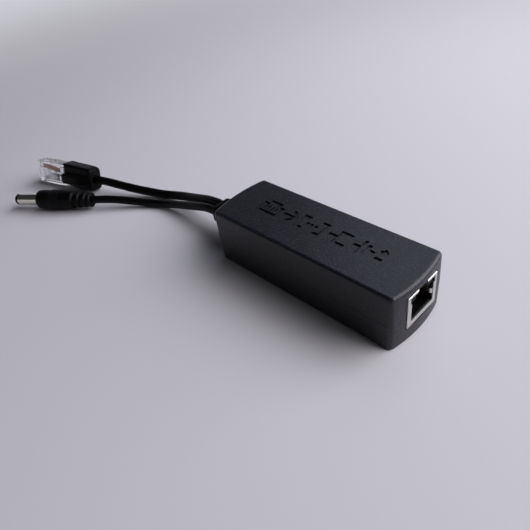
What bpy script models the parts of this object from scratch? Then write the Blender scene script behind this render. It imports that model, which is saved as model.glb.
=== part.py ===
# Power over ethernet splitter: a two-part moulded housing with a shielded jack at one end
# and, at the other, a strain relief with a data tail and a low-voltage tail.
# Units are metres. +X points out of the jack, +Z is up, and the origin is under the middle.

import math

import bmesh
import bpy
import numpy as np
from mathutils import Matrix, Vector

MM = 0.001

# Clearances
SEAT_GAP = 0.3 * MM          # between a piece and the piece that carries it
SLIP_GAP = 0.15 * MM         # between thin pieces that slide into each other
SEAM_GAP = 0.15 * MM         # the parting line between the shells
FLOOR_GAP = 0.1 * MM         # between the plugs and the surface under them

# Housing
HOUSING_LENGTH = 85.0 * MM
HOUSING_WIDTH = 28.7 * MM
HOUSING_HEIGHT = 22.8 * MM
END_BOW = 1.9 * MM           # how far each end curves out
CORNER_RADIUS = 2.0 * MM
TOP_FILLET = 1.4 * MM
BASE_FILLET = 0.6 * MM
DRAFT = 0.2 * MM             # how far each shell draws in from the parting line
WALL = 2.0 * MM
PARTING_HEIGHT = 11.0 * MM
LIP_HEIGHT = 1.4 * MM
END_RADIUS = ((HOUSING_WIDTH / 2) ** 2 + END_BOW ** 2) / (2 * END_BOW)

# Circuit board
BOARD_END_GAP = 4.5 * MM     # from each end of the housing to the board, before its shift
BOARD_SIDE_GAP = 0.35 * MM   # from the shells' inner faces to the board
BOARD_SHIFT = 0.2 * MM       # the board sits this much towards the jack
BOARD_LENGTH = HOUSING_LENGTH - 2 * BOARD_END_GAP
BOARD_WIDTH = HOUSING_WIDTH - 2 * (WALL + BOARD_SIDE_GAP)
BOARD_REAR = BOARD_SHIFT - BOARD_LENGTH / 2
BOARD_THICKNESS = 1.6 * MM
BOARD_TOP = 6.0 * MM
POST_RADIUS = 1.5 * MM
PIN_RADIUS = 0.8 * MM
PIN_RISE = 1.2 * MM
FRONT_POST_INSET = (2.5 * MM, 1.9 * MM)  # from the jack's back and from the board's side
REAR_POST_INSET = (3.8 * MM, 2.4 * MM)   # from the board's rear end and from its side

# Jack
JACK_WIDTH = 16.1 * MM
JACK_HEIGHT = 13.4 * MM
JACK_DEPTH = 21.0 * MM
JACK_BASE = BOARD_TOP + SLIP_GAP
SHEET = 0.35 * MM            # thickness of the shield
STILE_WIDTH = 1.9 * MM
RAIL_HEIGHT = 2.2 * MM
TOP_STRIP = 0.9 * MM
LATCH_GAP = 5.0 * MM         # opening between the two top strips
CAVITY_WIDTH = 11.9 * MM
CAVITY_FLOOR = 2.9 * MM      # above the jack's underside
CAVITY_HEIGHT = 6.9 * MM
CAVITY_DEPTH = 15.4 * MM
KEY_WIDTH = 6.3 * MM
KEY_HEIGHT = 1.5 * MM
SLOT_WIDTH = 3.6 * MM
SLOT_HEIGHT = 1.1 * MM
FINGER_REACH = 0.6 * MM      # how far each side finger stands into the cavity
FINGER_HALF = 1.0 * MM
PEG_RADIUS = 1.4 * MM
CONTACT_COUNT = 8
CONTACT_PITCH = 1.02 * MM
SPRING_RADIUS = 0.22 * MM
SPRING_RISE = 1.8 * MM
SPRING_SETBACK = 1.0 * MM    # from the shield's back face to the springs' front ends
SPRING_SHAPE = (             # shares of the springs' depth and of their rise
    (0.0, 0.0), (0.12, 0.02), (0.22, 0.12), (0.55, 0.62), (0.85, 0.96), (1.0, 1.0))

# Strain relief
RELIEF_HEIGHT = 9.9 * MM     # middle of the relief above the surface
RELIEF_WIDTH = 11.8 * MM
RELIEF_DEPTH = 8.8 * MM
RELIEF_REACH = 12.5 * MM     # past the end of the housing
RELIEF_TAPER = 0.86
RELIEF_RIBS = 4
RIB_GROOVE = 0.55 * MM
FLANGE_RIM = 1.2 * MM
FLANGE_THICKNESS = 1.5 * MM
RELIEF_ROUND = 1.5 * MM

# Board parts, in rows across the board from the jack to the rear
ROWS = (
    ("lan_transformer",),
    ("input_bridge_1", "input_bridge_2", "input_capacitor"),
    ("power_controller", "transformer", "ceramic_capacitor"),
    ("optocoupler", "rectifier_diode", "inductor"),
    ("output_capacitor",),
)
LEAD_ROOM = 5.4 * MM         # kept free at the board's rear end for the leads
CHIPS = {
    # name: length, width, height, pitch of the leads, reach of the leads, in millimetres
    "lan_transformer": (6.4, 9.6, 5.2, 1.5, 1.1),
    "input_bridge_1": (4.0, 4.7, 2.4, 2.5, 1.2),
    "input_bridge_2": (4.0, 4.7, 2.4, 2.5, 1.2),
    "power_controller": (3.0, 3.0, 1.3, 0.65, 0.9),
    "optocoupler": (4.2, 4.4, 3.4, 2.54, 1.0),
    "rectifier_diode": (4.3, 2.7, 2.2, 3.4, 0.7),
}
CHIP_LEADS = {               # on each side
    "lan_transformer": 6, "input_bridge_1": 2, "input_bridge_2": 2, "power_controller": 4,
    "optocoupler": 2, "rectifier_diode": 1}
CAN_RADIUS = 3.15 * MM
CAN_HEIGHT = 10.0 * MM
LEAD_THICKNESS = 0.25 * MM
TRANSFORMER_CORE = (10.0 * MM, 10.0 * MM, 4.4 * MM)
CORE_LEG = 1.6 * MM
CORE_MIDDLE = 2.6 * MM
BOBBIN_WALL = 0.6 * MM
BOBBIN_FLANGE = 0.8 * MM
BOBBIN_HALF = 4.4 * MM       # the flanges' reach above and below the core's middle
WINDING_DIP = 0.4 * MM       # the winding's distance inside the flanges' rims
DRUM_RADIUS = 3.0 * MM
DRUM_HEIGHT = 6.4 * MM
DRUM_WAIST = 1.4 * MM
DRUM_CHEEK = 1.1 * MM
DISC_RADIUS = 3.6 * MM
DISC_HALF = 1.4 * MM

# Leads between the relief and the board, in millimetres
LEADS = {
    # name: finish, place at the relief (across, above its middle), pad (from the rear, across)
    "data_lead_1": ("wire_pale_orange", (1.7, 0.7), (4.8, 1.0)),
    "data_lead_2": ("wire_orange", (3.1, 0.7), (4.8, 4.7)),
    "data_lead_3": ("wire_pale_green", (1.7, -0.7), (2.9, 2.2)),
    "data_lead_4": ("wire_green", (3.1, -0.7), (2.9, 3.6)),
    "power_lead_1": ("wire_red", (-1.7, 0.0), (4.2, -1.8)),
    "power_lead_2": ("wire_black", (-3.1, 0.0), (4.2, -4.6)),
}

# Tails
DATA_RADIUS = 2.1 * MM
POWER_RADIUS = 1.9 * MM
TAIL_SPREAD = 2.4 * MM       # each tail's distance from the middle at the relief

# Data plug, along its own axis from the tip
PLUG_HEADING = 16.2          # degrees
PLUG_ROLL = -106.0           # degrees; the plug lies on one side, its latch facing the front
PLUG_REAR = (-137.5 * MM, -16.6 * MM)
PLUG_LENGTH = 40.0 * MM      # tip to the back of the boot
PLUG_BODY = (21.5 * MM, 11.7 * MM, 6.6 * MM)
PLUG_MOUTH = 8.0 * MM        # depth of the opening that takes the cable
JACKET_END = PLUG_BODY[0] - 2.0 * MM
BLADE_START = 1.1 * MM
BLADE_END = 5.3 * MM
BLADE_SINK = 0.3 * MM        # the blades' edges below the plug's face
BLADE_THICKNESS = 0.35 * MM
WIRE_RADIUS = 0.45 * MM
WIRE_START = 1.9 * MM
WIRE_RISE = 0.9 * MM         # the row of wires above the plug's axis
WIRES = {
    # slot: finish, place in the cable's end (across, up) in millimetres
    1: ("wire_pale_orange", (-1.55, 0.35)),
    2: ("wire_orange", (-0.75, -0.6)),
    3: ("wire_pale_green", (-0.2, 0.8)),
    6: ("wire_green", (0.9, -0.2)),
}
BOOT_START = 20.2 * MM
BOOT_DEPTH = 8.0 * MM        # from the latch side to the contact side
BOOT_ROUND = 1.6 * MM
BOOT_SIDES = (               # distance from the tip, reach to each side, in millimetres
    (20.2, 6.6, 3.6), (22.0, 6.65, 4.4), (25.0, 6.6, 5.1), (28.0, 6.5, 5.75),
    (31.0, 6.4, 6.15), (37.2, 6.1, 6.0))
BOOT_TAIL = (                # distance from the rear, shares of the last width and of the depth
    (0.9 * MM, 0.94, 0.96), (0.0, 0.82, 0.84))
HOOD_WIDTH = 5.2 * MM        # the hood behind the latch
HOOD_RISE = 3.0 * MM
HOOD_SHIFT = 0.5 * MM
HOOD_LINE = (                # distance from the tip, shares of the hood's width and of its rise
    (21.6, 0.88, 0.86), (22.2, 1.0, 1.0), (33.5, 1.0, 1.0), (36.5, 0.92, 0.5), (38.3, 0.77, 0.08))
LATCH_START = 1.2 * MM
LATCH_WIDTH = 6.0 * MM
LATCH_SHOULDER = 9.4 * MM    # where the latch steps to its narrow end
LATCH_TIP_WIDTH = 3.2 * MM
LATCH_END = 19.0 * MM
LATCH_THICKNESS = 0.9 * MM
LATCH_RISE = 3.0 * MM        # its outer face above the plug's side, at its end

PLUG_LEAN = math.radians(-90.0 - PLUG_ROLL)
PLUG_HEIGHT = FLOOR_GAP + BOOT_ROUND + (
    (max(row[2] for row in BOOT_SIDES) * MM - BOOT_ROUND) * math.cos(PLUG_LEAN)
    + (BOOT_DEPTH / 2 - BOOT_ROUND) * math.sin(PLUG_LEAN))

# Power plug, along its own axis from the tip
BARREL_RADIUS = 2.75 * MM
BARREL_LENGTH = 13.7 * MM
BARREL_WALL = 0.4 * MM
BARREL_BORE = 1.05 * MM
TIP_RING = 1.6 * MM
TIP_NOSE = 0.7 * MM
CONTACT_SETBACK = 0.8 * MM
BARREL_SOCKET = 2.0 * MM     # how deep the barrel sits in the grip
GRIP_RADIUS = 4.85 * MM
GRIP_LENGTH = 30.2 * MM
GRIP_HEADING = 32.5          # degrees
GRIP_REAR = (-124.0 * MM, -27.1 * MM)
GRIP_TAIL_RADIUS = 3.7 * MM
GRIP_NOSE = (                # distance from the grip's front, share of its radius
    (0.0, 0.82), (0.5 * MM, 0.93), (1.7 * MM, 1.0))
GRIP_RIBS = 4
GRIP_RIB_START = 4.6 * MM
GRIP_RIB_PITCH = 1.75 * MM
GRIP_RIB_RISE = 0.15 * MM
GRIP_TAPER_START = 11.4 * MM
GRIP_RELIEF_START = 20.0 * MM
GRIP_WAIST = 4.35 * MM       # radius where the rings start
GRIP_RINGS = 3
GRIP_RING_PITCH = 3.55 * MM
GRIP_RING_GROOVE = 0.85 * MM
GRIP_RING_STEP = 0.2 * MM    # how much smaller each ring is than the one before
GRIP_HEIGHT = FLOOR_GAP + GRIP_RADIUS + GRIP_RIB_RISE

# Tail routes, chosen by hand, in millimetres
DATA_ROUTE = (
    (-60.3, 2.4, 9.9), (-66.6, 2.5, 9.0), (-73.6, 2.5, 7.3), (-80.0, 2.5, 5.6),
    (-86.6, 2.2, 4.1), (-93.5, 1.0, 2.9), (-100.2, -1.1, 2.3), (-106.2, -3.7, 2.8),
    (-112.4, -6.8, 3.8), (-119.0, -9.9, 5.0), (-125.2, -12.3, 5.9), (-131.2, -14.4, 6.5))
POWER_ROUTE = (
    (-60.0, -2.4, 9.8), (-65.3, -2.6, 8.9), (-70.6, -3.0, 7.5), (-76.4, -3.4, 5.9),
    (-82.4, -4.0, 4.4), (-89.0, -5.1, 2.9), (-95.4, -7.3, 2.1), (-101.2, -10.4, 2.3),
    (-106.8, -14.1, 3.1), (-112.1, -17.8, 4.0), (-118.2, -22.3, 4.7))

# Roundness of the facets
ARC_STEPS = 5
TURN_STEPS = 28

MATERIALS = {
    # name: colour, roughness, metallic, alpha
    "housing_black": ((0.022, 0.024, 0.030), 0.62, 0.0, 1.0),
    "cable_black": ((0.012, 0.012, 0.013), 0.38, 0.0, 1.0),
    "boot_black": ((0.014, 0.014, 0.016), 0.45, 0.0, 1.0),
    "tinned_shield": ((0.66, 0.63, 0.58), 0.30, 1.0, 1.0),
    "insulator_black": ((0.010, 0.010, 0.011), 0.50, 0.0, 1.0),
    "contact_gold": ((0.83, 0.62, 0.25), 0.25, 1.0, 1.0),
    "nickel": ((0.62, 0.60, 0.55), 0.24, 1.0, 1.0),
    "clear_plastic": ((0.92, 0.94, 0.95), 0.08, 0.0, 0.35),
    "board_green": ((0.03, 0.16, 0.07), 0.45, 0.0, 1.0),
    "ferrite": ((0.05, 0.05, 0.055), 0.70, 0.0, 1.0),
    "copper": ((0.72, 0.34, 0.16), 0.35, 1.0, 1.0),
    "winding_tape": ((0.80, 0.62, 0.10), 0.45, 0.0, 1.0),
    "capacitor_sleeve": ((0.03, 0.05, 0.12), 0.35, 0.0, 1.0),
    "ceramic_blue": ((0.06, 0.20, 0.55), 0.40, 0.0, 1.0),
    "chip_black": ((0.02, 0.02, 0.02), 0.55, 0.0, 1.0),
    "wire_orange": ((0.62, 0.20, 0.06), 0.40, 0.0, 1.0),
    "wire_pale_orange": ((0.80, 0.62, 0.50), 0.40, 0.0, 1.0),
    "wire_green": ((0.06, 0.36, 0.14), 0.40, 0.0, 1.0),
    "wire_pale_green": ((0.60, 0.76, 0.62), 0.40, 0.0, 1.0),
    "wire_red": ((0.55, 0.03, 0.03), 0.40, 0.0, 1.0),
    "wire_black": ((0.02, 0.02, 0.02), 0.40, 0.0, 1.0),
}


def remove_everything():
    for obj in list(bpy.data.objects):
        bpy.data.objects.remove(obj, do_unlink=True)


def new_collection(name):
    collection = bpy.data.collections.new(name)
    bpy.context.scene.collection.children.link(collection)
    return collection


def material(name):
    made = bpy.data.materials.get(name)
    if made:
        return made
    colour, roughness, metallic, alpha = MATERIALS[name]
    made = bpy.data.materials.new(name)
    made.use_nodes = True
    shader = made.node_tree.nodes["Principled BSDF"]
    shader.inputs["Base Color"].default_value = (*colour, 1.0)
    shader.inputs["Roughness"].default_value = roughness
    shader.inputs["Metallic"].default_value = metallic
    shader.inputs["Alpha"].default_value = alpha
    made.diffuse_color = (*colour, alpha)
    return made


def finish_part(obj, name, finish, parent=None):
    obj.name = name
    obj.data.name = name
    obj.data.materials.clear()
    obj.data.materials.append(material(finish))
    if parent:
        obj.parent = parent
    return obj


def as_object(bm, name="tool", clean=True):
    if clean:
        bmesh.ops.remove_doubles(bm, verts=bm.verts, dist=1e-6)
        bmesh.ops.recalc_face_normals(bm, faces=bm.faces)
    mesh = bpy.data.meshes.new(name)
    bm.to_mesh(mesh)
    bm.free()
    obj = bpy.data.objects.new(name, mesh)
    parts.objects.link(obj)
    return obj


def freeze(obj):
    """Replaces an object's data by its evaluated mesh, welded and facing out."""
    bpy.context.view_layer.update()
    graph = bpy.context.evaluated_depsgraph_get()
    mesh = bpy.data.meshes.new_from_object(obj.evaluated_get(graph))
    bm = bmesh.new()
    bm.from_mesh(mesh)
    bpy.data.meshes.remove(mesh)
    bm.transform(obj.matrix_world)
    name = obj.name
    bpy.data.objects.remove(obj, do_unlink=True)
    return as_object(bm, name)


def cut_with(target, tool, operation="DIFFERENCE"):
    modifier = target.modifiers.new(operation.lower(), "BOOLEAN")
    modifier.operation = operation
    modifier.solver = "EXACT"
    modifier.object = tool
    parts.objects.unlink(tool)
    cutters.objects.link(tool)
    tool.hide_render = True
    tool.display_type = "WIRE"
    return target


def join_with(target, tool):
    return cut_with(target, tool, "UNION")


def box(low, high, bevel=0.0, steps=2, choose=None):
    """A block between two corners, with its chosen edges rounded."""
    low = Vector(low)
    high = Vector(high)
    bm = bmesh.new()
    bmesh.ops.create_cube(bm, size=1.0)
    bmesh.ops.scale(bm, vec=high - low, verts=bm.verts)
    bmesh.ops.translate(bm, vec=(high + low) / 2, verts=bm.verts)
    if bevel:
        edges = [e for e in bm.edges if choose is None or choose(e)]
        bmesh.ops.bevel(bm, geom=edges, offset=bevel, segments=steps, profile=0.5,
                        affect="EDGES", material=-1)
    return as_object(bm)


def cylinder(centre, radius, low, high, steps=TURN_STEPS):
    bm = bmesh.new()
    bmesh.ops.create_cone(bm, cap_ends=True, segments=steps, radius1=radius, radius2=radius,
                          depth=high - low)
    bmesh.ops.translate(bm, vec=(centre[0], centre[1], (low + high) / 2), verts=bm.verts)
    return as_object(bm)


def flat_curve(outline, low, high, turn=None):
    """Extrudes a closed outline from one height to another, then turns it."""
    curve = bpy.data.curves.new("outline", "CURVE")
    curve.dimensions = "2D"
    curve.fill_mode = "BOTH"
    curve.extrude = (high - low) / 2
    spline = curve.splines.new("POLY")
    spline.points.add(len(outline) - 1)
    for point, place in zip(spline.points, outline):
        point.co = (place[0], place[1], 0.0, 1.0)
    spline.use_cyclic_u = True
    obj = bpy.data.objects.new("outline", curve)
    parts.objects.link(obj)
    shift = Matrix.Translation((0, 0, (low + high) / 2))
    obj.matrix_world = (turn or Matrix.Identity(4)) @ shift
    return freeze(obj)


def side_profile(outline, half_width):
    """Extrudes an outline drawn in X and Z equally to both sides in Y."""
    return flat_curve(outline, -half_width, half_width, Matrix.Rotation(math.pi / 2, 4, "X"))


def turned(profile, steps=TURN_STEPS, closed=False):
    """Turns a list of (distance along X, radius) pairs about the X axis."""
    bm = bmesh.new()
    points = [bm.verts.new((radius, 0, along)) for along, radius in profile]
    for first, second in zip(points, points[1:]):
        bm.edges.new((first, second))
    if closed:
        bm.edges.new((points[-1], points[0]))
    obj = as_object(bm, clean=False)
    screw = obj.modifiers.new("turn", "SCREW")
    screw.axis = "Z"
    screw.steps = steps
    screw.render_steps = steps
    screw.use_merge_vertices = True
    screw.merge_threshold = 0.00001
    obj.matrix_world = Matrix.Rotation(math.pi / 2, 4, "Y")
    return freeze(obj)


def smooth_route(points, spacing):
    """Reads evenly spaced points from a natural cubic curve through the given ones."""
    knots = np.array(points)
    steps = np.linalg.norm(np.diff(knots, axis=0), axis=1)
    along = np.concatenate(([0.0], np.cumsum(steps)))
    count = len(knots)
    system = np.eye(count)
    right = np.zeros((count, 3))
    for i in range(1, count - 1):
        system[i, i - 1] = steps[i - 1]
        system[i, i] = 2 * (steps[i - 1] + steps[i])
        system[i, i + 1] = steps[i]
        slopes = np.diff(knots[i - 1:i + 2], axis=0) / steps[i - 1:i + 1, None]
        right[i] = 6 * (slopes[1] - slopes[0])
    bend = np.linalg.solve(system, right)
    places = np.linspace(0, along[-1], max(2, round(along[-1] / spacing) + 1))
    spans = np.clip(np.searchsorted(along, places, side="right") - 1, 0, count - 2)
    route = []
    for place, k in zip(places, spans):
        h = steps[k]
        a = (along[k + 1] - place) / h
        b = 1 - a
        curved = ((a ** 3 - a) * bend[k] + (b ** 3 - b) * bend[k + 1]) * h * h / 6
        route.append(a * knots[k] + b * knots[k + 1] + curved)
    return route


def tube(route, radius, roundness=2):
    curve = bpy.data.curves.new("tube", "CURVE")
    curve.dimensions = "3D"
    curve.bevel_depth = radius
    curve.bevel_resolution = roundness
    curve.use_fill_caps = True
    spline = curve.splines.new("POLY")
    spline.points.add(len(route) - 1)
    for point, place in zip(spline.points, route):
        point.co = (*place, 1.0)
    obj = bpy.data.objects.new("tube", curve)
    parts.objects.link(obj)
    return freeze(obj)


def rounded_rectangle(width, height, radius, steps=3):
    """Points of an upright rounded rectangle, from its lower right corner round."""
    points = []
    corners = ((1, -1, -90), (1, 1, 0), (-1, 1, 90), (-1, -1, 180))
    for side, level, start in corners:
        for i in range(steps + 1):
            angle = math.radians(start + 90 * i / steps)
            across = side * (width / 2 - radius) + radius * math.cos(angle)
            rise = level * (height / 2 - radius) + radius * math.sin(angle)
            points.append((across, rise))
    return points


def lofted(stations):
    """Skins a body over (x, width, height, corner radius, rise, shift) sections along X."""
    bm = bmesh.new()
    rings = []
    for along, width, height, radius, rise, shift in stations:
        section = rounded_rectangle(width, height, radius)
        rings.append([bm.verts.new((along, y + shift, z + rise)) for y, z in section])
    for near, far in zip(rings, rings[1:]):
        for i in range(len(near)):
            bm.faces.new((near[i - 1], near[i], far[i], far[i - 1]))
    bm.faces.new(rings[0])
    bm.faces.new(rings[-1])
    return as_object(bm)


def end_reach(inset, across):
    """How far a bowed end stands from the middle, drawn in by the inset, at a given Y."""
    centre = HOUSING_LENGTH / 2 - END_RADIUS
    return centre + math.sqrt((END_RADIUS - inset) ** 2 - across ** 2)


def bowed_outline(inset):
    """The housing's plan, drawn in by the inset, with bowed ends and round corners."""
    centre = HOUSING_LENGTH / 2 - END_RADIUS
    reach = END_RADIUS - inset
    side = HOUSING_WIDTH / 2 - inset
    corner = max(CORNER_RADIUS - inset, 0.4 * MM)
    across = side - corner
    along = centre + math.sqrt((reach - corner) ** 2 - across ** 2)
    turn = math.atan2(across, along - centre)
    quarter = []
    for i in range(ARC_STEPS + 1):
        angle = turn * i / ARC_STEPS
        quarter.append((centre + reach * math.cos(angle), reach * math.sin(angle)))
    for i in range(1, ARC_STEPS + 1):
        angle = turn + (math.pi / 2 - turn) * i / ARC_STEPS
        quarter.append((along + corner * math.cos(angle), across + corner * math.sin(angle)))
    upper_left = [(-x, y) for x, y in reversed(quarter)]
    lower_left = [(-x, -y) for x, y in quarter[1:]]
    lower_right = [(x, -y) for x, y in reversed(quarter[1:])]
    return quarter + upper_left + lower_left + lower_right


def housing_block(low, high, edge_height, fillet):
    """A solid half of the housing, drafted and filleted at its closed end."""
    block = flat_curve(bowed_outline(0), low, high)
    bm = bmesh.new()
    bm.from_mesh(block.data)
    ends = [v for v in bm.verts if abs(v.co.z - edge_height) < 1e-6]
    draw_in = Vector((1 - 2 * DRAFT / HOUSING_LENGTH, 1 - 2 * DRAFT / HOUSING_WIDTH, 1))
    bmesh.ops.scale(bm, vec=draw_in, verts=ends)
    rim = [e for e in bm.edges
           if all(abs(v.co.z - edge_height) < 1e-6 for v in e.verts)
           and any(len(f.verts) == 4 for f in e.link_faces)]
    bmesh.ops.bevel(bm, geom=rim, offset=fillet, segments=3, profile=0.5, affect="EDGES",
                    material=-1)
    bm.to_mesh(block.data)
    bm.free()
    return block


def post_places():
    half = BOARD_WIDTH / 2
    front = (HOUSING_LENGTH / 2 - JACK_DEPTH - FRONT_POST_INSET[0], half - FRONT_POST_INSET[1])
    rear = (BOARD_REAR + REAR_POST_INSET[0], half - REAR_POST_INSET[1])
    return [(x, side * y) for x, y in (front, rear) for side in (-1, 1)]


def jack_corners(grow):
    """The jack's outer box, grown by a clearance, as low and high corners."""
    front = HOUSING_LENGTH / 2
    low = (front - JACK_DEPTH - grow, -JACK_WIDTH / 2 - grow, JACK_BASE - grow)
    high = (front + grow, JACK_WIDTH / 2 + grow, JACK_BASE + JACK_HEIGHT + grow)
    return low, high


def end_windows(shell):
    """Cuts the jack window and the window for the relief's neck through the end walls."""
    low, high = jack_corners(SLIP_GAP + 0.1 * MM)
    cut_with(shell, box(low, (high[0] + WALL, high[1], high[2])))
    half_width = RELIEF_WIDTH / 2 - RIB_GROOVE + SLIP_GAP
    half_depth = RELIEF_DEPTH / 2 - RIB_GROOVE + SLIP_GAP
    end = -HOUSING_LENGTH / 2
    cut_with(shell, box((end - WALL, -half_width, RELIEF_HEIGHT - half_depth),
                        (end + 2 * WALL, half_width, RELIEF_HEIGHT + half_depth)))


def make_lower_shell():
    shell = housing_block(0, PARTING_HEIGHT, 0, BASE_FILLET)
    lip = WALL / 2 + SLIP_GAP
    join_with(shell, flat_curve(bowed_outline(lip), WALL, PARTING_HEIGHT + LIP_HEIGHT))
    above = PARTING_HEIGHT + LIP_HEIGHT + WALL
    cut_with(shell, flat_curve(bowed_outline(WALL), WALL, above))
    seat = BOARD_TOP - BOARD_THICKNESS - SLIP_GAP
    for place in post_places():
        post = cylinder(place, POST_RADIUS, WALL / 2, seat, 16)
        join_with(shell, post)
        pin_top = BOARD_TOP + PIN_RISE
        join_with(shell, cylinder(place, PIN_RADIUS, seat - WALL / 2, pin_top, 12))
    end_windows(shell)
    return finish_part(shell, "lower_shell", "housing_black")


def make_upper_shell():
    start = PARTING_HEIGHT + SEAM_GAP
    shell = housing_block(start, HOUSING_HEIGHT, HOUSING_HEIGHT, TOP_FILLET)
    recess_top = PARTING_HEIGHT + LIP_HEIGHT + SLIP_GAP
    cut_with(shell, flat_curve(bowed_outline(WALL / 2), start - WALL, recess_top))
    roof = HOUSING_HEIGHT - WALL
    cut_with(shell, flat_curve(bowed_outline(WALL), start - WALL, roof))
    foot = BOARD_TOP + SLIP_GAP
    for place in post_places():
        join_with(shell, cylinder(place, POST_RADIUS, foot, roof + WALL / 2, 16))
        bore = PIN_RADIUS + SLIP_GAP
        bore_top = BOARD_TOP + PIN_RISE + SEAT_GAP
        cut_with(shell, cylinder(place, bore, foot - WALL, bore_top, 12))
    end_windows(shell)
    return finish_part(shell, "upper_shell", "housing_black")


def make_board():
    low = BOARD_TOP - BOARD_THICKNESS
    board = box((BOARD_REAR, -BOARD_WIDTH / 2, low),
                (BOARD_REAR + BOARD_LENGTH, BOARD_WIDTH / 2, BOARD_TOP))
    bores = [(place, PIN_RADIUS) for place in post_places()]
    bores += [(place, PEG_RADIUS) for place in peg_places()]
    for place, radius in bores:
        cut_with(board, cylinder(place, radius + SLIP_GAP, low - WALL, BOARD_TOP + WALL, 16))
    return finish_part(board, "circuit_board", "board_green")


def peg_places():
    along = HOUSING_LENGTH / 2 - JACK_DEPTH / 2
    return [(along, side * JACK_WIDTH / 3) for side in (-1, 1)]


def make_jack_shield():
    low, high = jack_corners(0)
    front = high[0]
    shield = box(low, high, SHEET, 2, lambda e: abs(e.verts[0].co.x - e.verts[1].co.x) > MM)
    inner_low, inner_high = jack_corners(-SHEET)
    cut_with(shield, box(inner_low, inner_high))
    open_half = JACK_WIDTH / 2 - STILE_WIDTH
    rail = JACK_BASE + RAIL_HEIGHT
    strip = JACK_BASE + JACK_HEIGHT - TOP_STRIP
    cut_with(shield, box((front - MM, -open_half, rail), (front + MM, open_half, strip)))
    cut_with(shield, box((front - MM, -LATCH_GAP / 2, rail),
                         (front + MM, LATCH_GAP / 2, JACK_BASE + JACK_HEIGHT - SHEET)))
    cut_with(shield, box((inner_low[0], inner_low[1], low[2] - MM),
                         (inner_high[0], inner_high[1], inner_low[2] + MM)))
    level = JACK_BASE + CAVITY_FLOOR + CAVITY_HEIGHT / 2
    for side in (-1, 1):
        root = side * (open_half + STILE_WIDTH / 4)
        tip = side * (CAVITY_WIDTH / 2 - FINGER_REACH)
        width = (min(root, tip), max(root, tip))
        finger = box((front - 3 * SHEET, width[0], level - FINGER_HALF),
                     (front - SHEET / 2, width[1], level + FINGER_HALF), SHEET / 2, 2,
                     lambda e: abs(e.verts[0].co.z - e.verts[1].co.z) > FINGER_HALF)
        join_with(shield, finger)
    return finish_part(shield, "jack_shield", "tinned_shield")


def make_jack_housing():
    low, high = jack_corners(-SHEET - SLIP_GAP)
    block = box((low[0], low[1], JACK_BASE + SLIP_GAP / 2), high)
    for place in peg_places():
        join_with(block, cylinder(place, PEG_RADIUS, BOARD_TOP - BOARD_THICKNESS,
                                  JACK_BASE + MM, 16))
    front = HOUSING_LENGTH / 2
    floor = JACK_BASE + CAVITY_FLOOR
    back = front - CAVITY_DEPTH
    key_floor = floor + CAVITY_HEIGHT
    slot_floor = key_floor + KEY_HEIGHT
    openings = ((CAVITY_WIDTH, floor, key_floor),
                (KEY_WIDTH, key_floor - MM, slot_floor),
                (SLOT_WIDTH, slot_floor - MM, slot_floor + SLOT_HEIGHT))
    for width, bottom, top in openings:
        cut_with(block, box((back, -width / 2, bottom), (front + MM, width / 2, top)))
    # pockets behind the shield's front let its two spring fingers reach in
    level = floor + CAVITY_HEIGHT / 2
    half = JACK_WIDTH / 2
    pocket = FINGER_HALF + SEAT_GAP
    cut_with(block, box((front - 3 * SHEET - SEAT_GAP, -half, level - pocket),
                        (front + MM, half, level + pocket)))
    return finish_part(block, "jack_housing", "insulator_black")


def spring_route(y):
    """A contact spring's bent line, from the comb at the mouth up to the back."""
    front = HOUSING_LENGTH / 2 - SHEET - SPRING_SETBACK
    back = HOUSING_LENGTH / 2 - CAVITY_DEPTH + SEAT_GAP + SPRING_RADIUS
    floor = JACK_BASE + CAVITY_FLOOR + SLIP_GAP + SPRING_RADIUS
    depth = front - back
    return [(front - along * depth, y, floor + up * SPRING_RISE) for along, up in SPRING_SHAPE]


def make_jack_contacts():
    for i in range(CONTACT_COUNT):
        y = (i - (CONTACT_COUNT - 1) / 2) * CONTACT_PITCH
        spring = tube(spring_route(y), SPRING_RADIUS, 1)
        finish_part(spring, f"jack_contact_{i + 1}", "contact_gold")


def gull_lead(x, y, direction, reach, width, height):
    """One flat lead that leaves a package's side, steps down and lies on the board."""
    foot = BOARD_TOP + SEAT_GAP / 2
    thick = LEAD_THICKNESS
    root = -1.5 * thick
    knee = reach * 0.45
    outline = ((root, height), (knee, height), (knee, foot), (reach, foot),
               (reach, foot + thick), (knee + thick, foot + thick),
               (knee + thick, height + thick), (root, height + thick))
    lead = side_profile(outline, width / 2)
    lead.matrix_world = (Matrix.Translation((x, y, 0))
                         @ Matrix.Rotation(direction, 4, "Z"))
    return lead


def make_chip(name, centre):
    """A moulded package with a row of bent leads along each of its two X ends."""
    x, y = centre
    length, width, height, pitch, reach = CHIPS[name]
    pins = CHIP_LEADS[name]
    base = BOARD_TOP + SEAT_GAP
    reach *= MM
    pitch *= MM
    half_length = length * MM / 2
    half_width = width * MM / 2
    body = box((x - half_length, y - half_width, base),
               (x + half_length, y + half_width, base + height * MM), 0.2 * MM, 1)
    level = base + height * MM * 0.45
    for i in range(pins):
        row = y + (i - (pins - 1) / 2) * pitch
        for side, turn in ((1, 0.0), (-1, math.pi)):
            join_with(body, gull_lead(x + side * half_length, row, turn, reach, pitch * 0.4,
                                      level))
    return finish_part(body, name, "chip_black")


def upright(centre, height):
    """Stands a body turned about X on end, over a place on the board."""
    return (Matrix.Translation((centre[0], centre[1], height))
            @ Matrix.Rotation(-math.pi / 2, 4, "Y"))


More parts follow.
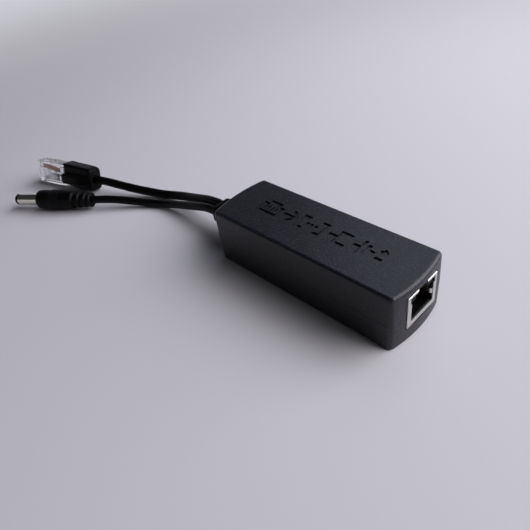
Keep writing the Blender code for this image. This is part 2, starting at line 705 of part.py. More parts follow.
def make_can(name, centre):
    """A radial capacitor: a crimped can with a rolled shoulder and a recessed top."""
    radius = CAN_RADIUS
    height = CAN_HEIGHT
    crimp = 0.35 * MM
    shoulder = 0.6 * MM
    dish = 0.15 * MM
    profile = ((0, 0), (0, radius - crimp), (crimp, radius), (4 * crimp, radius),
               (5.5 * crimp, radius - crimp), (7 * crimp, radius), (height - shoulder, radius),
               (height, radius - shoulder), (height - dish, radius - 2 * shoulder),
               (height - dish, 0))
    can = turned(profile, 24)
    can.matrix_world = upright(centre, BOARD_TOP + SEAT_GAP)
    return finish_part(can, name, "capacitor_sleeve")


def spread_box(centre, half_length, half_width, half_height, **rounding):
    x, y, z = centre
    return box((x - half_length, y - half_width, z - half_height),
               (x + half_length, y + half_width, z + half_height), **rounding)


def make_transformer(place):
    """A ferrite pair round a bobbin, with the winding's tape between the flanges."""
    length, width, height = TRANSFORMER_CORE
    x, y = place
    centre = (x, y, BOARD_TOP + SEAT_GAP + BOBBIN_HALF)
    core = spread_box(centre, length / 2, width / 2, height / 2, bevel=SEAT_GAP, steps=1)
    half_window = length / 2 - CORE_LEG
    rim = width / 2 - 0.8 * CORE_LEG
    window_middle = (CORE_MIDDLE / 2 + rim) / 2
    window_half = (rim - CORE_MIDDLE / 2) / 2
    for side in (-1, 1):
        window = (x, y + side * window_middle, centre[2])
        cut_with(core, spread_box(window, half_window, window_half, height))
    finish_part(core, "transformer_core", "ferrite")

    bore = CORE_MIDDLE / 2 + SLIP_GAP
    bore_height = height / 2 + SLIP_GAP
    shaft = bore + BOBBIN_WALL
    shaft_height = bore_height + BOBBIN_WALL
    half_spool = half_window - SLIP_GAP
    flange_rim = rim - SLIP_GAP
    bobbin = spread_box(centre, half_spool, shaft, shaft_height)
    for side in (-1, 1):
        flange = (x + side * (half_spool - BOBBIN_FLANGE / 2), y, centre[2])
        join_with(bobbin, spread_box(flange, BOBBIN_FLANGE / 2, flange_rim, BOBBIN_HALF))
    cut_with(bobbin, spread_box(centre, length, bore, bore_height))
    finish_part(bobbin, "transformer_bobbin", "chip_black")

    half_wound = half_spool - BOBBIN_FLANGE - SLIP_GAP
    winding = spread_box(centre, half_wound, flange_rim - WINDING_DIP,
                         BOBBIN_HALF - WINDING_DIP, bevel=3 * WINDING_DIP, steps=3,
                         choose=lambda e: abs(e.verts[0].co.x - e.verts[1].co.x) > MM)
    cut_with(winding, spread_box(centre, length, shaft + SLIP_GAP, shaft_height + SLIP_GAP))
    finish_part(winding, "transformer_winding", "winding_tape")


def make_inductor(centre):
    """A ferrite drum with copper wound in its waist."""
    place = upright(centre, BOARD_TOP + SEAT_GAP)
    height = DRUM_HEIGHT
    rim = DRUM_RADIUS
    cheek = DRUM_CHEEK
    drum = turned(((0, 0), (0, rim), (cheek, rim), (cheek, DRUM_WAIST),
                   (height - cheek, DRUM_WAIST), (height - cheek, rim), (height, rim),
                   (height, 0)), 24)
    drum.matrix_world = place
    finish_part(drum, "inductor_core", "ferrite")
    low = cheek + SLIP_GAP
    high = height - cheek - SLIP_GAP
    inner = DRUM_WAIST + SLIP_GAP
    outer = rim - WINDING_DIP
    coil = turned(((low, inner), (low, outer - SLIP_GAP), ((low + high) / 2, outer),
                   (high, outer - SLIP_GAP), (high, inner)), 24, closed=True)
    coil.matrix_world = place
    finish_part(coil, "inductor_winding", "copper")


def make_disc_capacitor(centre):
    """A dipped ceramic disc that stands on edge."""
    half = DISC_HALF
    shares = ((-1.0, 0.72), (-0.7, 0.92), (0.0, 1.0), (0.7, 0.92), (1.0, 0.72))
    profile = [(-half, 0)]
    profile += [(along * half, share * DISC_RADIUS) for along, share in shares]
    profile.append((half, 0))
    disc = turned(profile, 24)
    rise = BOARD_TOP + SEAT_GAP + DISC_RADIUS
    disc.matrix_world = (Matrix.Translation((centre[0], centre[1], rise))
                         @ Matrix.Rotation(math.pi / 2, 4, "Z"))
    finish_part(disc, "ceramic_capacitor", "ceramic_blue")


def footprint(name):
    """The length and width that a board part takes up, with its leads."""
    if name in CHIPS:
        length, width, _, _, reach = CHIPS[name]
        return (length + 2 * reach) * MM, width * MM
    if name == "transformer":
        return TRANSFORMER_CORE[:2]
    if name == "inductor":
        return 2 * DRUM_RADIUS, 2 * DRUM_RADIUS
    if name == "ceramic_capacitor":
        return 2 * DISC_RADIUS, 2 * DISC_HALF
    return 2 * CAN_RADIUS, 2 * CAN_RADIUS


def spread(start, room, sizes):
    """Centres of pieces that stand in a line with the same gap between and beside them."""
    gap = (room - sum(sizes)) / (len(sizes) + 1)
    centres = []
    for size in sizes:
        centres.append(start + gap + size / 2)
        start += gap + size
    return centres


def make_board_parts():
    rear = BOARD_REAR + LEAD_ROOM
    room = HOUSING_LENGTH / 2 - JACK_DEPTH - rear
    rows = ROWS[::-1]
    depths = [max(footprint(name)[0] for name in row) for row in rows]
    for row, x in zip(rows, spread(rear, room, depths)):
        widths = [footprint(name)[1] for name in row]
        for name, y in zip(row, spread(-BOARD_WIDTH / 2, BOARD_WIDTH, widths)):
            if name in CHIPS:
                make_chip(name, (x, y))
            elif name == "transformer":
                make_transformer((x, y))
            elif name == "inductor":
                make_inductor((x, y))
            elif name == "ceramic_capacitor":
                make_disc_capacitor((x, y))
            else:
                make_can(name, (x, y))


def relief_seat():
    """Where the relief's flange bears on the inside of the bowed end wall."""
    return SEAT_GAP - end_reach(WALL, RELIEF_WIDTH / 2 + FLANGE_RIM)


def make_relief():
    end = -HOUSING_LENGTH / 2
    neck = (RELIEF_WIDTH - 2 * RIB_GROOVE, RELIEF_DEPTH - 2 * RIB_GROOVE)
    rim = (RELIEF_WIDTH + 2 * FLANGE_RIM, RELIEF_DEPTH + 2 * FLANGE_RIM)
    seat = relief_seat()
    round_off = RELIEF_ROUND
    stations = [(seat + FLANGE_THICKNESS, *rim, round_off), (seat, *rim, round_off),
                (seat, *neck, round_off)]
    body_start = end - SEAT_GAP
    body_length = RELIEF_REACH - SEAT_GAP
    stations.append((body_start, *neck, round_off))
    rib = body_length / (2 * RELIEF_RIBS - 1)
    for i in range(RELIEF_RIBS):
        for edge in (2 * i, 2 * i + 1):
            share = edge / (2 * RELIEF_RIBS - 1)
            scale = 1 + (RELIEF_TAPER - 1) * share
            full = (RELIEF_WIDTH * scale, RELIEF_DEPTH * scale)
            low = (full[0] - 2 * RIB_GROOVE, full[1] - 2 * RIB_GROOVE)
            along = body_start - rib * edge
            pair = [(along, *low, round_off), (along, *full, round_off)]
            if edge % 2:
                pair.reverse()
            if edge == 2 * RELIEF_RIBS - 1:
                pair = pair[:1]
            stations.extend(pair)
    stations = [(x, w, h, r, RELIEF_HEIGHT, 0) for x, w, h, r in stations]
    return finish_part(lofted(drop_repeats(stations)), "strain_relief", "boot_black")


def drop_repeats(stations):
    kept = stations[:1]
    for station in stations[1:]:
        if max(abs(a - b) for a, b in zip(station, kept[-1])) > 1e-7:
            kept.append(station)
    return kept


def make_leads():
    """Loose leads from the relief to their pads at the back of the board."""
    start = relief_seat() + FLANGE_THICKNESS + SEAT_GAP
    landing = BOARD_TOP + SEAT_GAP
    for name, (finish, place, pad) in LEADS.items():
        y = place[0] * MM
        level = RELIEF_HEIGHT + place[1] * MM
        pad_x = BOARD_REAR + pad[0] * MM
        pad_y = pad[1] * MM
        points = ((start, y, level), (start + 0.4 * (pad_x - start), y, level),
                  (pad_x - WIRE_RADIUS, pad_y, landing + 0.55 * (level - landing)),
                  (pad_x, pad_y, landing))
        finish_part(tube(smooth_route(points, 1.2 * MM), WIRE_RADIUS, 1), name, finish)


def heading(degrees):
    """A unit vector in plan that points from a plug's tip back along its cable."""
    angle = math.radians(degrees)
    return Vector((math.cos(angle), math.sin(angle), 0))


def plug_frame(name, rear, length, height, degrees, roll=0.0):
    """An empty at a plug's tip, with +X running back to the plug's rear."""
    tip = Vector((*rear, height)) - heading(degrees) * length
    frame = bpy.data.objects.new(name, None)
    parts.objects.link(frame)
    frame.location = tip
    frame.rotation_euler = (math.radians(roll), 0, math.radians(degrees))
    bpy.context.view_layer.update()
    return frame


def hold_tools(obj, frame):
    """Keeps an object's cutting tools with the frame that places the object."""
    for modifier in obj.modifiers:
        modifier.object.parent = frame


def make_plug_body(frame):
    length, width, height = PLUG_BODY
    body = box((0, -width / 2, -height / 2), (length, width / 2, height / 2), BLADE_THICKNESS, 2)
    channel = WIRE_RADIUS + SLIP_GAP
    span = CONTACT_PITCH * CONTACT_COUNT + SLIP_GAP
    cut_with(body, box((WIRE_START - SEAT_GAP, -span / 2, WIRE_RISE - channel),
                       (length - PLUG_MOUTH + MM, span / 2, WIRE_RISE + channel)))
    mouth = DATA_RADIUS + SEAT_GAP
    cut_with(body, box((length - PLUG_MOUTH, -span / 2, -mouth),
                       (length + MM, span / 2, mouth), 2 * SEAT_GAP, 1))
    slot = BLADE_THICKNESS / 2 + SLIP_GAP
    for i in range(CONTACT_COUNT):
        y = contact_y(i + 1)
        cut_with(body, box((BLADE_START - SLIP_GAP, y - slot, WIRE_RISE),
                           (BLADE_END + SEAT_GAP, y + slot, height)))
    make_latch(body)
    hold_tools(body, frame)
    return finish_part(body, "data_plug_body", "clear_plastic", frame)


def make_latch(body):
    """The latch springs from the nose and rises towards the boot's hood."""
    under = -PLUG_BODY[2] / 2
    thick = LATCH_THICKNESS
    root_drop = 0.7 * MM
    root_x = LATCH_START + thick
    slope = (LATCH_RISE - root_drop) / (LATCH_END - root_x)
    for width, end in ((LATCH_WIDTH, LATCH_SHOULDER), (LATCH_TIP_WIDTH, LATCH_END)):
        low = under - root_drop - slope * (end - root_x)
        line = ((LATCH_START, under + thick), (LATCH_START, under - root_drop / 3),
                (root_x, under - root_drop), (end, low), (end, low + thick),
                (root_x + thick, under), (root_x + thick, under + thick))
        join_with(body, side_profile(line, width / 2))


def contact_y(position):
    return (position - (CONTACT_COUNT + 1) / 2) * CONTACT_PITCH


def make_plug_contacts(frame):
    top = PLUG_BODY[2] / 2 - BLADE_SINK
    bottom = WIRE_RISE + WIRE_RADIUS + SLIP_GAP
    half = BLADE_THICKNESS / 2
    for i in range(CONTACT_COUNT):
        y = contact_y(i + 1)
        blade = box((BLADE_START, y - half, bottom), (BLADE_END, y + half, top),
                    0.5 * MM, 2, lambda e: abs(e.verts[0].co.y - e.verts[1].co.y) > half
                    and e.verts[0].co.z > top - half)
        finish_part(blade, f"data_plug_contact_{i + 1}", "contact_gold", frame)


def make_plug_wires(frame):
    split = PLUG_BODY[0] - PLUG_MOUTH
    end = JACKET_END - SEAT_GAP
    for slot, (finish, place) in WIRES.items():
        y = contact_y(slot)
        gather, level = (value * MM for value in place)
        points = ((WIRE_START, y, WIRE_RISE), (split - 3 * MM, y, WIRE_RISE),
                  (split, y, WIRE_RISE),
                  ((split + end) / 2, (y + gather) / 2, (WIRE_RISE + level) / 2),
                  (end, gather, level))
        finish_part(tube(smooth_route(points, 1.5 * MM), WIRE_RADIUS, 1),
                    f"data_plug_wire_{slot}", finish, frame)


def make_boot(frame):
    """A boot whose front is cut back on one side, with a hood behind the latch."""
    length, width, height = PLUG_BODY
    inner = (width + 2 * SLIP_GAP, height + 2 * SLIP_GAP)
    front_round = BOOT_ROUND / 2
    stations = []
    for along, left, right in BOOT_SIDES:
        along *= MM
        edge = BOOT_ROUND if along > length + MM else front_round
        stations.append((along, (left + right) * MM, BOOT_DEPTH, edge, 0, (right - left) / 2 * MM))
    last = stations[-1]
    for back, wide, high in BOOT_TAIL:
        stations.append((PLUG_LENGTH - back, last[1] * wide, BOOT_DEPTH * high, BOOT_ROUND, 0,
                         last[5]))
    boot = lofted(stations)
    buried = 1.0 * MM
    hood = []
    for along, wide, high in HOOD_LINE:
        rise = HOOD_RISE * high
        depth = rise + buried
        hood.append((along * MM, HOOD_WIDTH * wide, depth, min(1.4 * MM, depth / 2 - 0.05 * MM),
                     -BOOT_DEPTH / 2 - rise + depth / 2, HOOD_SHIFT))
    join_with(boot, lofted(hood))
    cut_with(boot, box((BOOT_START - MM, -inner[0] / 2, -inner[1] / 2),
                       (length + SEAT_GAP, inner[0] / 2, inner[1] / 2)))
    cut_with(boot, box((BOOT_START - MM, -width, -BOOT_DEPTH), (length, width, -height / 2)))
    bore = DATA_RADIUS + SLIP_GAP
    cut_with(boot, turned(((length - MM, 0), (length - MM, bore), (PLUG_LENGTH + MM, bore),
                           (PLUG_LENGTH + MM, 0)), 16))
    hold_tools(boot, frame)
    return finish_part(boot, "data_plug_boot", "boot_black", frame)


def make_power_plug(frame):
    inner = BARREL_RADIUS - BARREL_WALL
    start = TIP_RING + SLIP_GAP
    end = BARREL_LENGTH + BARREL_SOCKET - SEAT_GAP
    sleeve = turned(((start, inner), (start, BARREL_RADIUS), (end, BARREL_RADIUS),
                     (end, inner)), closed=True)
    finish_part(sleeve, "power_plug_sleeve", "nickel", frame)

    thin = BARREL_WALL / 2
    core = inner - SLIP_GAP
    bore = BARREL_BORE + thin + SLIP_GAP
    bore_end = BARREL_LENGTH - MM
    corner = TIP_NOSE * 0.3
    insulator = turned((
        (bore_end, 0), (bore_end, bore), (0.0, bore), (0.0, BARREL_RADIUS - TIP_NOSE),
        (corner, BARREL_RADIUS - corner), (TIP_NOSE, BARREL_RADIUS),
        (TIP_RING, BARREL_RADIUS), (TIP_RING, core), (end, core), (end, 0)))
    finish_part(insulator, "power_plug_insulator", "insulator_black", frame)

    contact_end = bore_end - SEAT_GAP
    contact = turned(((CONTACT_SETBACK, BARREL_BORE), (CONTACT_SETBACK, BARREL_BORE + thin),
                      (contact_end, BARREL_BORE + thin), (contact_end, BARREL_BORE)), 20,
                     closed=True)
    finish_part(contact, "power_plug_contact", "contact_gold", frame)


def make_power_grip(frame):
    """The moulded grip: a socket for the barrel, fine ribs, a taper and relief rings."""
    root = BARREL_LENGTH
    end = root + GRIP_LENGTH
    hole = BARREL_RADIUS + SLIP_GAP
    profile = [(root + BARREL_SOCKET, 0), (root + BARREL_SOCKET, hole), (root, hole)]
    profile += [(root + along, GRIP_RADIUS * share) for along, share in GRIP_NOSE]
    rib = GRIP_RIB_PITCH / 5
    for i in range(GRIP_RIBS):
        along = root + GRIP_RIB_START + i * GRIP_RIB_PITCH
        profile += [(along, GRIP_RADIUS), (along + rib, GRIP_RADIUS + GRIP_RIB_RISE),
                    (along + 2 * rib, GRIP_RADIUS)]
    profile.append((root + GRIP_TAPER_START, GRIP_RADIUS))
    relief = root + GRIP_RELIEF_START
    profile.append((relief, GRIP_WAIST))
    pitch = GRIP_RING_PITCH
    for i in range(GRIP_RINGS):
        along = relief + i * pitch
        ring = GRIP_TAIL_RADIUS + (GRIP_RINGS - 1 - i) * GRIP_RING_STEP
        floor = ring - GRIP_RING_GROOVE
        profile += [(along + 0.15 * pitch, floor), (along + 0.42 * pitch, floor),
                    (along + 0.58 * pitch, ring)]
        if i < GRIP_RINGS - 1:
            profile.append((along + pitch, ring))
    profile += [(end - 0.6 * MM, GRIP_TAIL_RADIUS), (end, GRIP_TAIL_RADIUS - 0.6 * MM), (end, 0)]
    finish_part(turned(profile), "power_plug_grip", "boot_black", frame)


def make_tails():
    start = -HOUSING_LENGTH / 2 - RELIEF_REACH - SEAT_GAP
    back = heading(PLUG_HEADING)
    rear = Vector((*PLUG_REAR, PLUG_HEIGHT))
    inside = rear - back * (PLUG_LENGTH - JACKET_END)
    middle = rear - back * (PLUG_LENGTH - JACKET_END) / 2
    data = [(start, TAIL_SPREAD, RELIEF_HEIGHT)]
    data += [tuple(value * MM for value in point) for point in DATA_ROUTE]
    data += [tuple(rear), tuple(middle), tuple(inside)]
    finish_part(tube(smooth_route(data, 4.5 * MM), DATA_RADIUS), "data_cable", "cable_black")

    meet = Vector((*GRIP_REAR, GRIP_HEIGHT)) + heading(GRIP_HEADING) * SEAT_GAP
    power = [(start, -TAIL_SPREAD, RELIEF_HEIGHT)]
    power += [tuple(value * MM for value in point) for point in POWER_ROUTE]
    power += [tuple(meet)]
    finish_part(tube(smooth_route(power, 4.0 * MM), POWER_RADIUS), "power_cable", "cable_black")


remove_everything()
parts = new_collection("power_over_ethernet_splitter")
cutters = new_collection("cutters")

make_lower_shell()
make_upper_shell()
make_board()
make_jack_shield()
make_jack_housing()
make_jack_contacts()
make_board_parts()
make_relief()
make_leads()

data_frame = plug_frame("data_plug_frame", PLUG_REAR, PLUG_LENGTH, PLUG_HEIGHT, PLUG_HEADING,
                        PLUG_ROLL)
make_plug_body(data_frame)
make_plug_contacts(data_frame)
make_plug_wires(data_frame)
make_boot(data_frame)

power_frame = plug_frame("power_plug_frame", GRIP_REAR, BARREL_LENGTH + GRIP_LENGTH,
                         GRIP_HEIGHT, GRIP_HEADING)
make_power_plug(power_frame)
make_power_grip(power_frame)
make_tails()
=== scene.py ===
import math

import bmesh
import bpy
import numpy as np
from mathutils import Matrix, Vector


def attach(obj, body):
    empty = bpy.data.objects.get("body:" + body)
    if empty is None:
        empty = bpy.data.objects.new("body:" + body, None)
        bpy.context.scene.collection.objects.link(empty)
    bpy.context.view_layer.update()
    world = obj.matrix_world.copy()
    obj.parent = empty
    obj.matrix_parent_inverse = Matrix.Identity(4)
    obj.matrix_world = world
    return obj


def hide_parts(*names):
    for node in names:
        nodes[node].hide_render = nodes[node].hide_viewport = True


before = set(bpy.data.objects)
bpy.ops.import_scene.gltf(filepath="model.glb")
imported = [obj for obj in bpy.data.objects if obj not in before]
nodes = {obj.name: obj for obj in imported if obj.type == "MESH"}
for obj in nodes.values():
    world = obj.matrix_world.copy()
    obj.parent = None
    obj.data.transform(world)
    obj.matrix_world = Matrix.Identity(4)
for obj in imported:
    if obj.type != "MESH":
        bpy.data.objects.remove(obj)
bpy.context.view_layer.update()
mm = 0.001
play = 0.15 * mm    # the usual gap between two pieces


# Small helpers

def addObject(data, name):
    obj = bpy.data.objects.new(name, data)
    bpy.context.scene.collection.objects.link(obj)
    return obj


def meshFrom(bm, name="piece"):
    bmesh.ops.remove_doubles(bm, verts=bm.verts, dist=1e-7)
    # some operators list their elements in a new order each run
    slant = Vector((1.0, 1.618, 2.718))
    bm.verts.sort(key=lambda v: v.co.dot(slant))
    bm.edges.sort(key=lambda e: (e.verts[0].co + e.verts[1].co).dot(slant))
    bm.faces.sort(key=lambda f: f.calc_center_median().dot(slant))
    bmesh.ops.recalc_face_normals(bm, faces=bm.faces)
    mesh = bpy.data.meshes.new(name)
    bm.to_mesh(mesh)
    bm.free()
    return addObject(mesh, name)


def modified(obj, kind, clean=True, **settings):
    # the object with one modifier applied, as a plain mesh
    modifier = obj.modifiers.new(kind.lower(), kind)
    for key, value in settings.items():
        setattr(modifier, key, value)
    bpy.context.view_layer.update()
    graph = bpy.context.evaluated_depsgraph_get()
    mesh = bpy.data.meshes.new_from_object(obj.evaluated_get(graph))
    name = obj.name
    bpy.data.objects.remove(obj)
    if clean:
        bm = bmesh.new()
        bm.from_mesh(mesh)
        bmesh.ops.dissolve_degenerate(bm, edges=bm.edges, dist=1e-6)
        bm.to_mesh(mesh)
        bm.free()
    mesh.name = name
    return addObject(mesh, name)


def combined(target, tool, operation="DIFFERENCE"):
    result = modified(target, "BOOLEAN", operation=operation, solver="EXACT", object=tool)
    bpy.data.objects.remove(tool)
    return result


def block(low, high, bevel=0.0, segments=2):
    low, high = Vector(low), Vector(high)
    bm = bmesh.new()
    bmesh.ops.create_cube(bm, size=1.0)
    bmesh.ops.scale(bm, vec=high - low, verts=bm.verts)
    bmesh.ops.translate(bm, vec=(high + low) / 2, verts=bm.verts)
    if bevel:
        bmesh.ops.bevel(bm, geom=list(bm.edges), offset=bevel, segments=segments,
                        profile=0.5, affect="EDGES", material=-1)
    return meshFrom(bm)


def cut(body, low, high, *edges):
    return combined(body, block(low, high, *edges))


def drawLine(bm, points, closed=True):
    verts = [bm.verts.new(point) for point in points]
    ends = verts[1:] + verts[:1] if closed else verts[1:]
    return verts, [bm.edges.new(pair) for pair in zip(verts, ends)]


def loft(sections, closed=False, openAt=None):
    # draws an outline out through sections of as many points; it fills the ends, or joins
    # them when closed, and the pair of sections at openAt is filled and not joined
    bm = bmesh.new()
    ring, edges = drawLine(bm, sections[0])
    caps = [] if closed else [edges]
    for k, section in enumerate(sections[1:] + (sections[:1] if closed else [])):
        if k == openAt:
            caps.append(edges)
            ring, edges = drawLine(bm, section)
            caps.append(edges)
            continue
        made = bmesh.ops.extrude_edge_only(bm, edges=edges)["geom"]
        fresh = {v for v in made if isinstance(v, bmesh.types.BMVert)}
        edges = [e for e in made
                 if isinstance(e, bmesh.types.BMEdge) and fresh.issuperset(e.verts)]
        grown = []
        for old, point in zip(ring, section):
            new = next(e.other_vert(old) for e in old.link_edges if e.other_vert(old) in fresh)
            new.co = point
            grown.append(new)
        ring = grown
    if not closed:
        caps.append(edges)
    for cap in caps:
        bmesh.ops.edgeloop_fill(bm, edges=cap)
    return meshFrom(bm)


def roundedSection(along, width, height, radius, rise, steps, shift=0.0):
    # a rounded rectangle across the X axis
    radius = min(radius, width / 2 - 1e-5, height / 2 - 1e-5)
    points = []
    for side, level, start in ((1, -1, -90), (1, 1, 0), (-1, 1, 90), (-1, -1, 180)):
        for i in range(steps + 1):
            angle = math.radians(start + 90 * i / steps)
            y = side * (width / 2 - radius) + radius * math.cos(angle)
            z = level * (height / 2 - radius) + radius * math.sin(angle)
            points.append((along, y + shift, z + rise))
    return points


def turned(profile, steps, closed=False):
    # spins a line of (distance along X, radius) points about the X axis
    bm = bmesh.new()
    drawLine(bm, [(along, radius, 0) for along, radius in profile], closed)
    bmesh.ops.spin(bm, geom=bm.verts[:] + bm.edges[:], cent=(0, 0, 0), axis=(1, 0, 0),
                   angle=math.tau, steps=steps, use_merge=True)
    bmesh.ops.dissolve_degenerate(bm, dist=1e-8, edges=bm.edges)
    return meshFrom(bm)


def roundedProfile(points, radius, steps=4):
    # rounds the inner corners of a line of (x, y) points
    rounded = [points[0]]
    for before, corner, after in zip(points, points[1:], points[2:]):
        corner = Vector(corner)
        toBefore = Vector(before) - corner
        toAfter = Vector(after) - corner
        reach = min(radius, toBefore.length * 0.45, toAfter.length * 0.45)
        start = corner + toBefore.normalized() * reach
        end = corner + toAfter.normalized() * reach
        for i in range(steps + 1):
            t = i / steps
            rounded.append(tuple(start * (1 - t) ** 2 + corner * 2 * t * (1 - t) + end * t ** 2))
    rounded.append(points[-1])
    return rounded


def sideShape(outline, half, middle=0.0):
    # an outline in X and Z, drawn out to both sides
    return loft([[(x, middle + side * half, z) for x, z in outline] for side in (-1, 1)])


def stroke(points, width, low, high, closed, flare):
    # a flat-bottomed band along a line in X and Y, with round ends unless it is closed
    path = [Vector(p) for p in points]
    count = len(path)
    half = width / 2
    sections = []

    def across(direction):
        return Vector((-direction.y, direction.x))

    def addSection(place, side, reach):
        corners = ((reach, low), (reach + flare, high), (-reach - flare, high), (-reach, low))
        sections.append([(*(place + side * out), z) for out, z in corners])

    def addEnd(place, direction, degrees):
        for angle in map(math.radians, degrees):
            addSection(place + direction * half * math.sin(angle), across(direction),
                       half * math.cos(angle))

    if not closed:
        addEnd(path[0], (path[1] - path[0]).normalized(), range(-80, 1, 20))
    for i in range(0 if closed else 1, count if closed else count - 1):
        before = (path[i] - path[i - 1]).normalized()
        after = (path[(i + 1) % count] - path[i]).normalized()
        side = (across(before) + across(after)).normalized()
        addSection(path[i], side, half / max(0.5, side.dot(across(after))))
    if not closed:
        addEnd(path[-1], (path[-1] - path[-2]).normalized(), range(0, 81, 20))
    return loft(sections, closed)


def tubeCurve(points, radius, name, roundness, swell=None):
    curve = bpy.data.curves.new(name, "CURVE")
    curve.dimensions = "3D"
    curve.bevel_depth = radius
    curve.bevel_resolution = roundness
    curve.use_fill_caps = True
    spline = curve.splines.new("POLY")
    spline.points.add(len(points) - 1)
    for i, (point, place) in enumerate(zip(spline.points, points)):
        point.co = (*place, 1.0)
        if swell:
            point.radius = swell(i)
    spline.use_smooth = True
    return addObject(curve, name)


def smoothRoute(points, spacing):
    # evenly spaced points of a natural cubic curve through the given ones
    knots = np.array(points)
    steps = np.linalg.norm(np.diff(knots, axis=0), axis=1)
    along = np.concatenate(([0.0], np.cumsum(steps)))
    count = len(knots)
    system = np.eye(count)
    right = np.zeros((count, 3))
    for i in range(1, count - 1):
        system[i, i - 1:i + 2] = steps[i - 1], 2 * (steps[i - 1] + steps[i]), steps[i]
        slopes = np.diff(knots[i - 1:i + 2], axis=0) / steps[i - 1:i + 1, None]
        right[i] = 6 * (slopes[1] - slopes[0])
    bend = np.linalg.solve(system, right)
    places = np.linspace(0, along[-1], max(2, round(along[-1] / spacing) + 1))
    spans = np.clip(np.searchsorted(along, places, side="right") - 1, 0, count - 2)
    route = []
    for place, k in zip(places, spans):
        h = steps[k]
        a = (along[k + 1] - place) / h
        b = 1 - a
        curved = ((a ** 3 - a) * bend[k] + (b ** 3 - b) * bend[k + 1]) * h * h / 6
        route.append(a * knots[k] + b * knots[k + 1] + curved)
    return route


def finishPiece(obj, name, slotName, *stands, angle=35, matrix=None, flat=True):
    # puts a finished piece in place, names and shades it, and ties it to the frame
    if matrix:
        obj.data.transform(matrix)
    obj.name = name
    obj.data.name = name
    obj.data.materials.clear()
    obj.data.materials.append(finishes[slotName])
    if obj.type == "MESH":
        obj.data.shade_smooth()
        obj.data.set_sharp_from_angle(angle=math.radians(angle))
        if flat:
            # large faces keep their own normals next to small bevels
            obj = modified(obj, "WEIGHTED_NORMAL", False, keep_sharp=True, weight=80)
    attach(obj, "root")
    if stands:
        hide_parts(*stands)
    return obj


# Materials

def fill(tree, node, inputs):
    # a socket is linked to its input, and anything else is the input's own value
    for key, value in inputs.items():
        socket = node.inputs[key.replace("_", " ") if isinstance(key, str) else key]
        if isinstance(value, bpy.types.NodeSocket):
            tree.links.new(value, socket)
        else:
            socket.default_value = value
    return node


def addNode(tree, kind, settings=None, **inputs):
    node = tree.nodes.new(kind)
    for key, value in (settings or {}).items():
        setattr(node, key, value)
    return fill(tree, node, inputs)


def reckon(tree, operation, *terms):
    node = addNode(tree, "ShaderNodeMath", {"operation": operation})
    return fill(tree, node, dict(enumerate(terms))).outputs[0]


def newMaterial(name, colour, roughness, **looks):
    # looks are further inputs of the Principled shader
    material = bpy.data.materials.new(name)
    material.use_nodes = True
    material.diffuse_color = (*colour, 1.0)
    tree = material.node_tree
    fill(tree, tree.nodes["Principled BSDF"],
         {"Base Color": (*colour, 1.0), "Roughness": roughness, **looks})
    return material


grain = {
    "coarse": 0.37,             # scale of the large bumps, as a share of the small ones'
    "driftScale": 45.0,
    "driftRange": (0.3, 0.7),
    "speckScale": 1500.0,
    "speckEdge": (0.42, 0.12),
    "speckPick": 0.68,          # specks under this value are left out
}


def makeGrain():
    # moulded grain: two sizes of bumps, slow shade drift and small pale specks
    group = bpy.data.node_groups.new("mouldedGrain", "ShaderNodeTree")
    for way, kind, names in (("INPUT", "Color", ("Colour", "Fleck")),
                             ("INPUT", "Float", ("Scale", "Drift", "Rough", "Spread", "Flecks")),
                             ("OUTPUT", "Color", ("Colour",)),
                             ("OUTPUT", "Float", ("Roughness", "Height"))):
        for name in names:
            group.interface.new_socket(name=name, in_out=way, socket_type="NodeSocket" + kind)
    given = group.nodes.new("NodeGroupInput").outputs
    place = group.nodes.new("ShaderNodeTexCoord").outputs["Object"]
    fine = addNode(group, "ShaderNodeTexNoise", Vector=place, Scale=given["Scale"], Detail=2.0,
                   Roughness=0.6).outputs["Fac"]
    coarse = addNode(group, "ShaderNodeTexVoronoi", {"feature": "SMOOTH_F1"}, Vector=place,
                     Scale=reckon(group, "MULTIPLY", given["Scale"], grain["coarse"]),
                     Smoothness=0.6).outputs["Distance"]
    slow = addNode(group, "ShaderNodeTexNoise", Vector=place, Scale=grain["driftScale"],
                   Detail=3.0).outputs["Fac"]
    shade = addNode(group, "ShaderNodeMapRange", Value=slow, From_Min=grain["driftRange"][0],
                    From_Max=grain["driftRange"][1],
                    To_Min=reckon(group, "SUBTRACT", 1.0, given["Drift"]),
                    To_Max=reckon(group, "ADD", 1.0, given["Drift"]))
    tint = addNode(group, "ShaderNodeVectorMath", {"operation": "SCALE"},
                   Scale=shade.outputs["Result"])
    fill(group, tint, {0: given["Colour"]})
    speck = addNode(group, "ShaderNodeTexVoronoi", Vector=place, Scale=grain["speckScale"])
    dot = addNode(group, "ShaderNodeMapRange", Value=speck.outputs["Distance"],
                  From_Min=grain["speckEdge"][0], From_Max=grain["speckEdge"][1])
    pick = addNode(group, "ShaderNodeSeparateColor", Color=speck.outputs["Color"])
    chosen = reckon(group, "GREATER_THAN", pick.outputs[0], grain["speckPick"])
    both = reckon(group, "MULTIPLY", dot.outputs["Result"], chosen)
    blend = addNode(group, "ShaderNodeMix", {"data_type": "RGBA"},
                    Factor=reckon(group, "MULTIPLY", both, given["Flecks"]))
    fill(group, blend, {6: tint.outputs[0], 7: given["Fleck"]})
    swing = reckon(group, "SUBTRACT", fine, 0.5)
    fill(group, group.nodes.new("NodeGroupOutput"), {
        "Colour": blend.outputs[2], "Height": reckon(group, "ADD", fine, coarse),
        "Roughness": reckon(group, "MULTIPLY_ADD", swing, given["Spread"], given["Rough"])})
    return group


grainGroup = makeGrain()


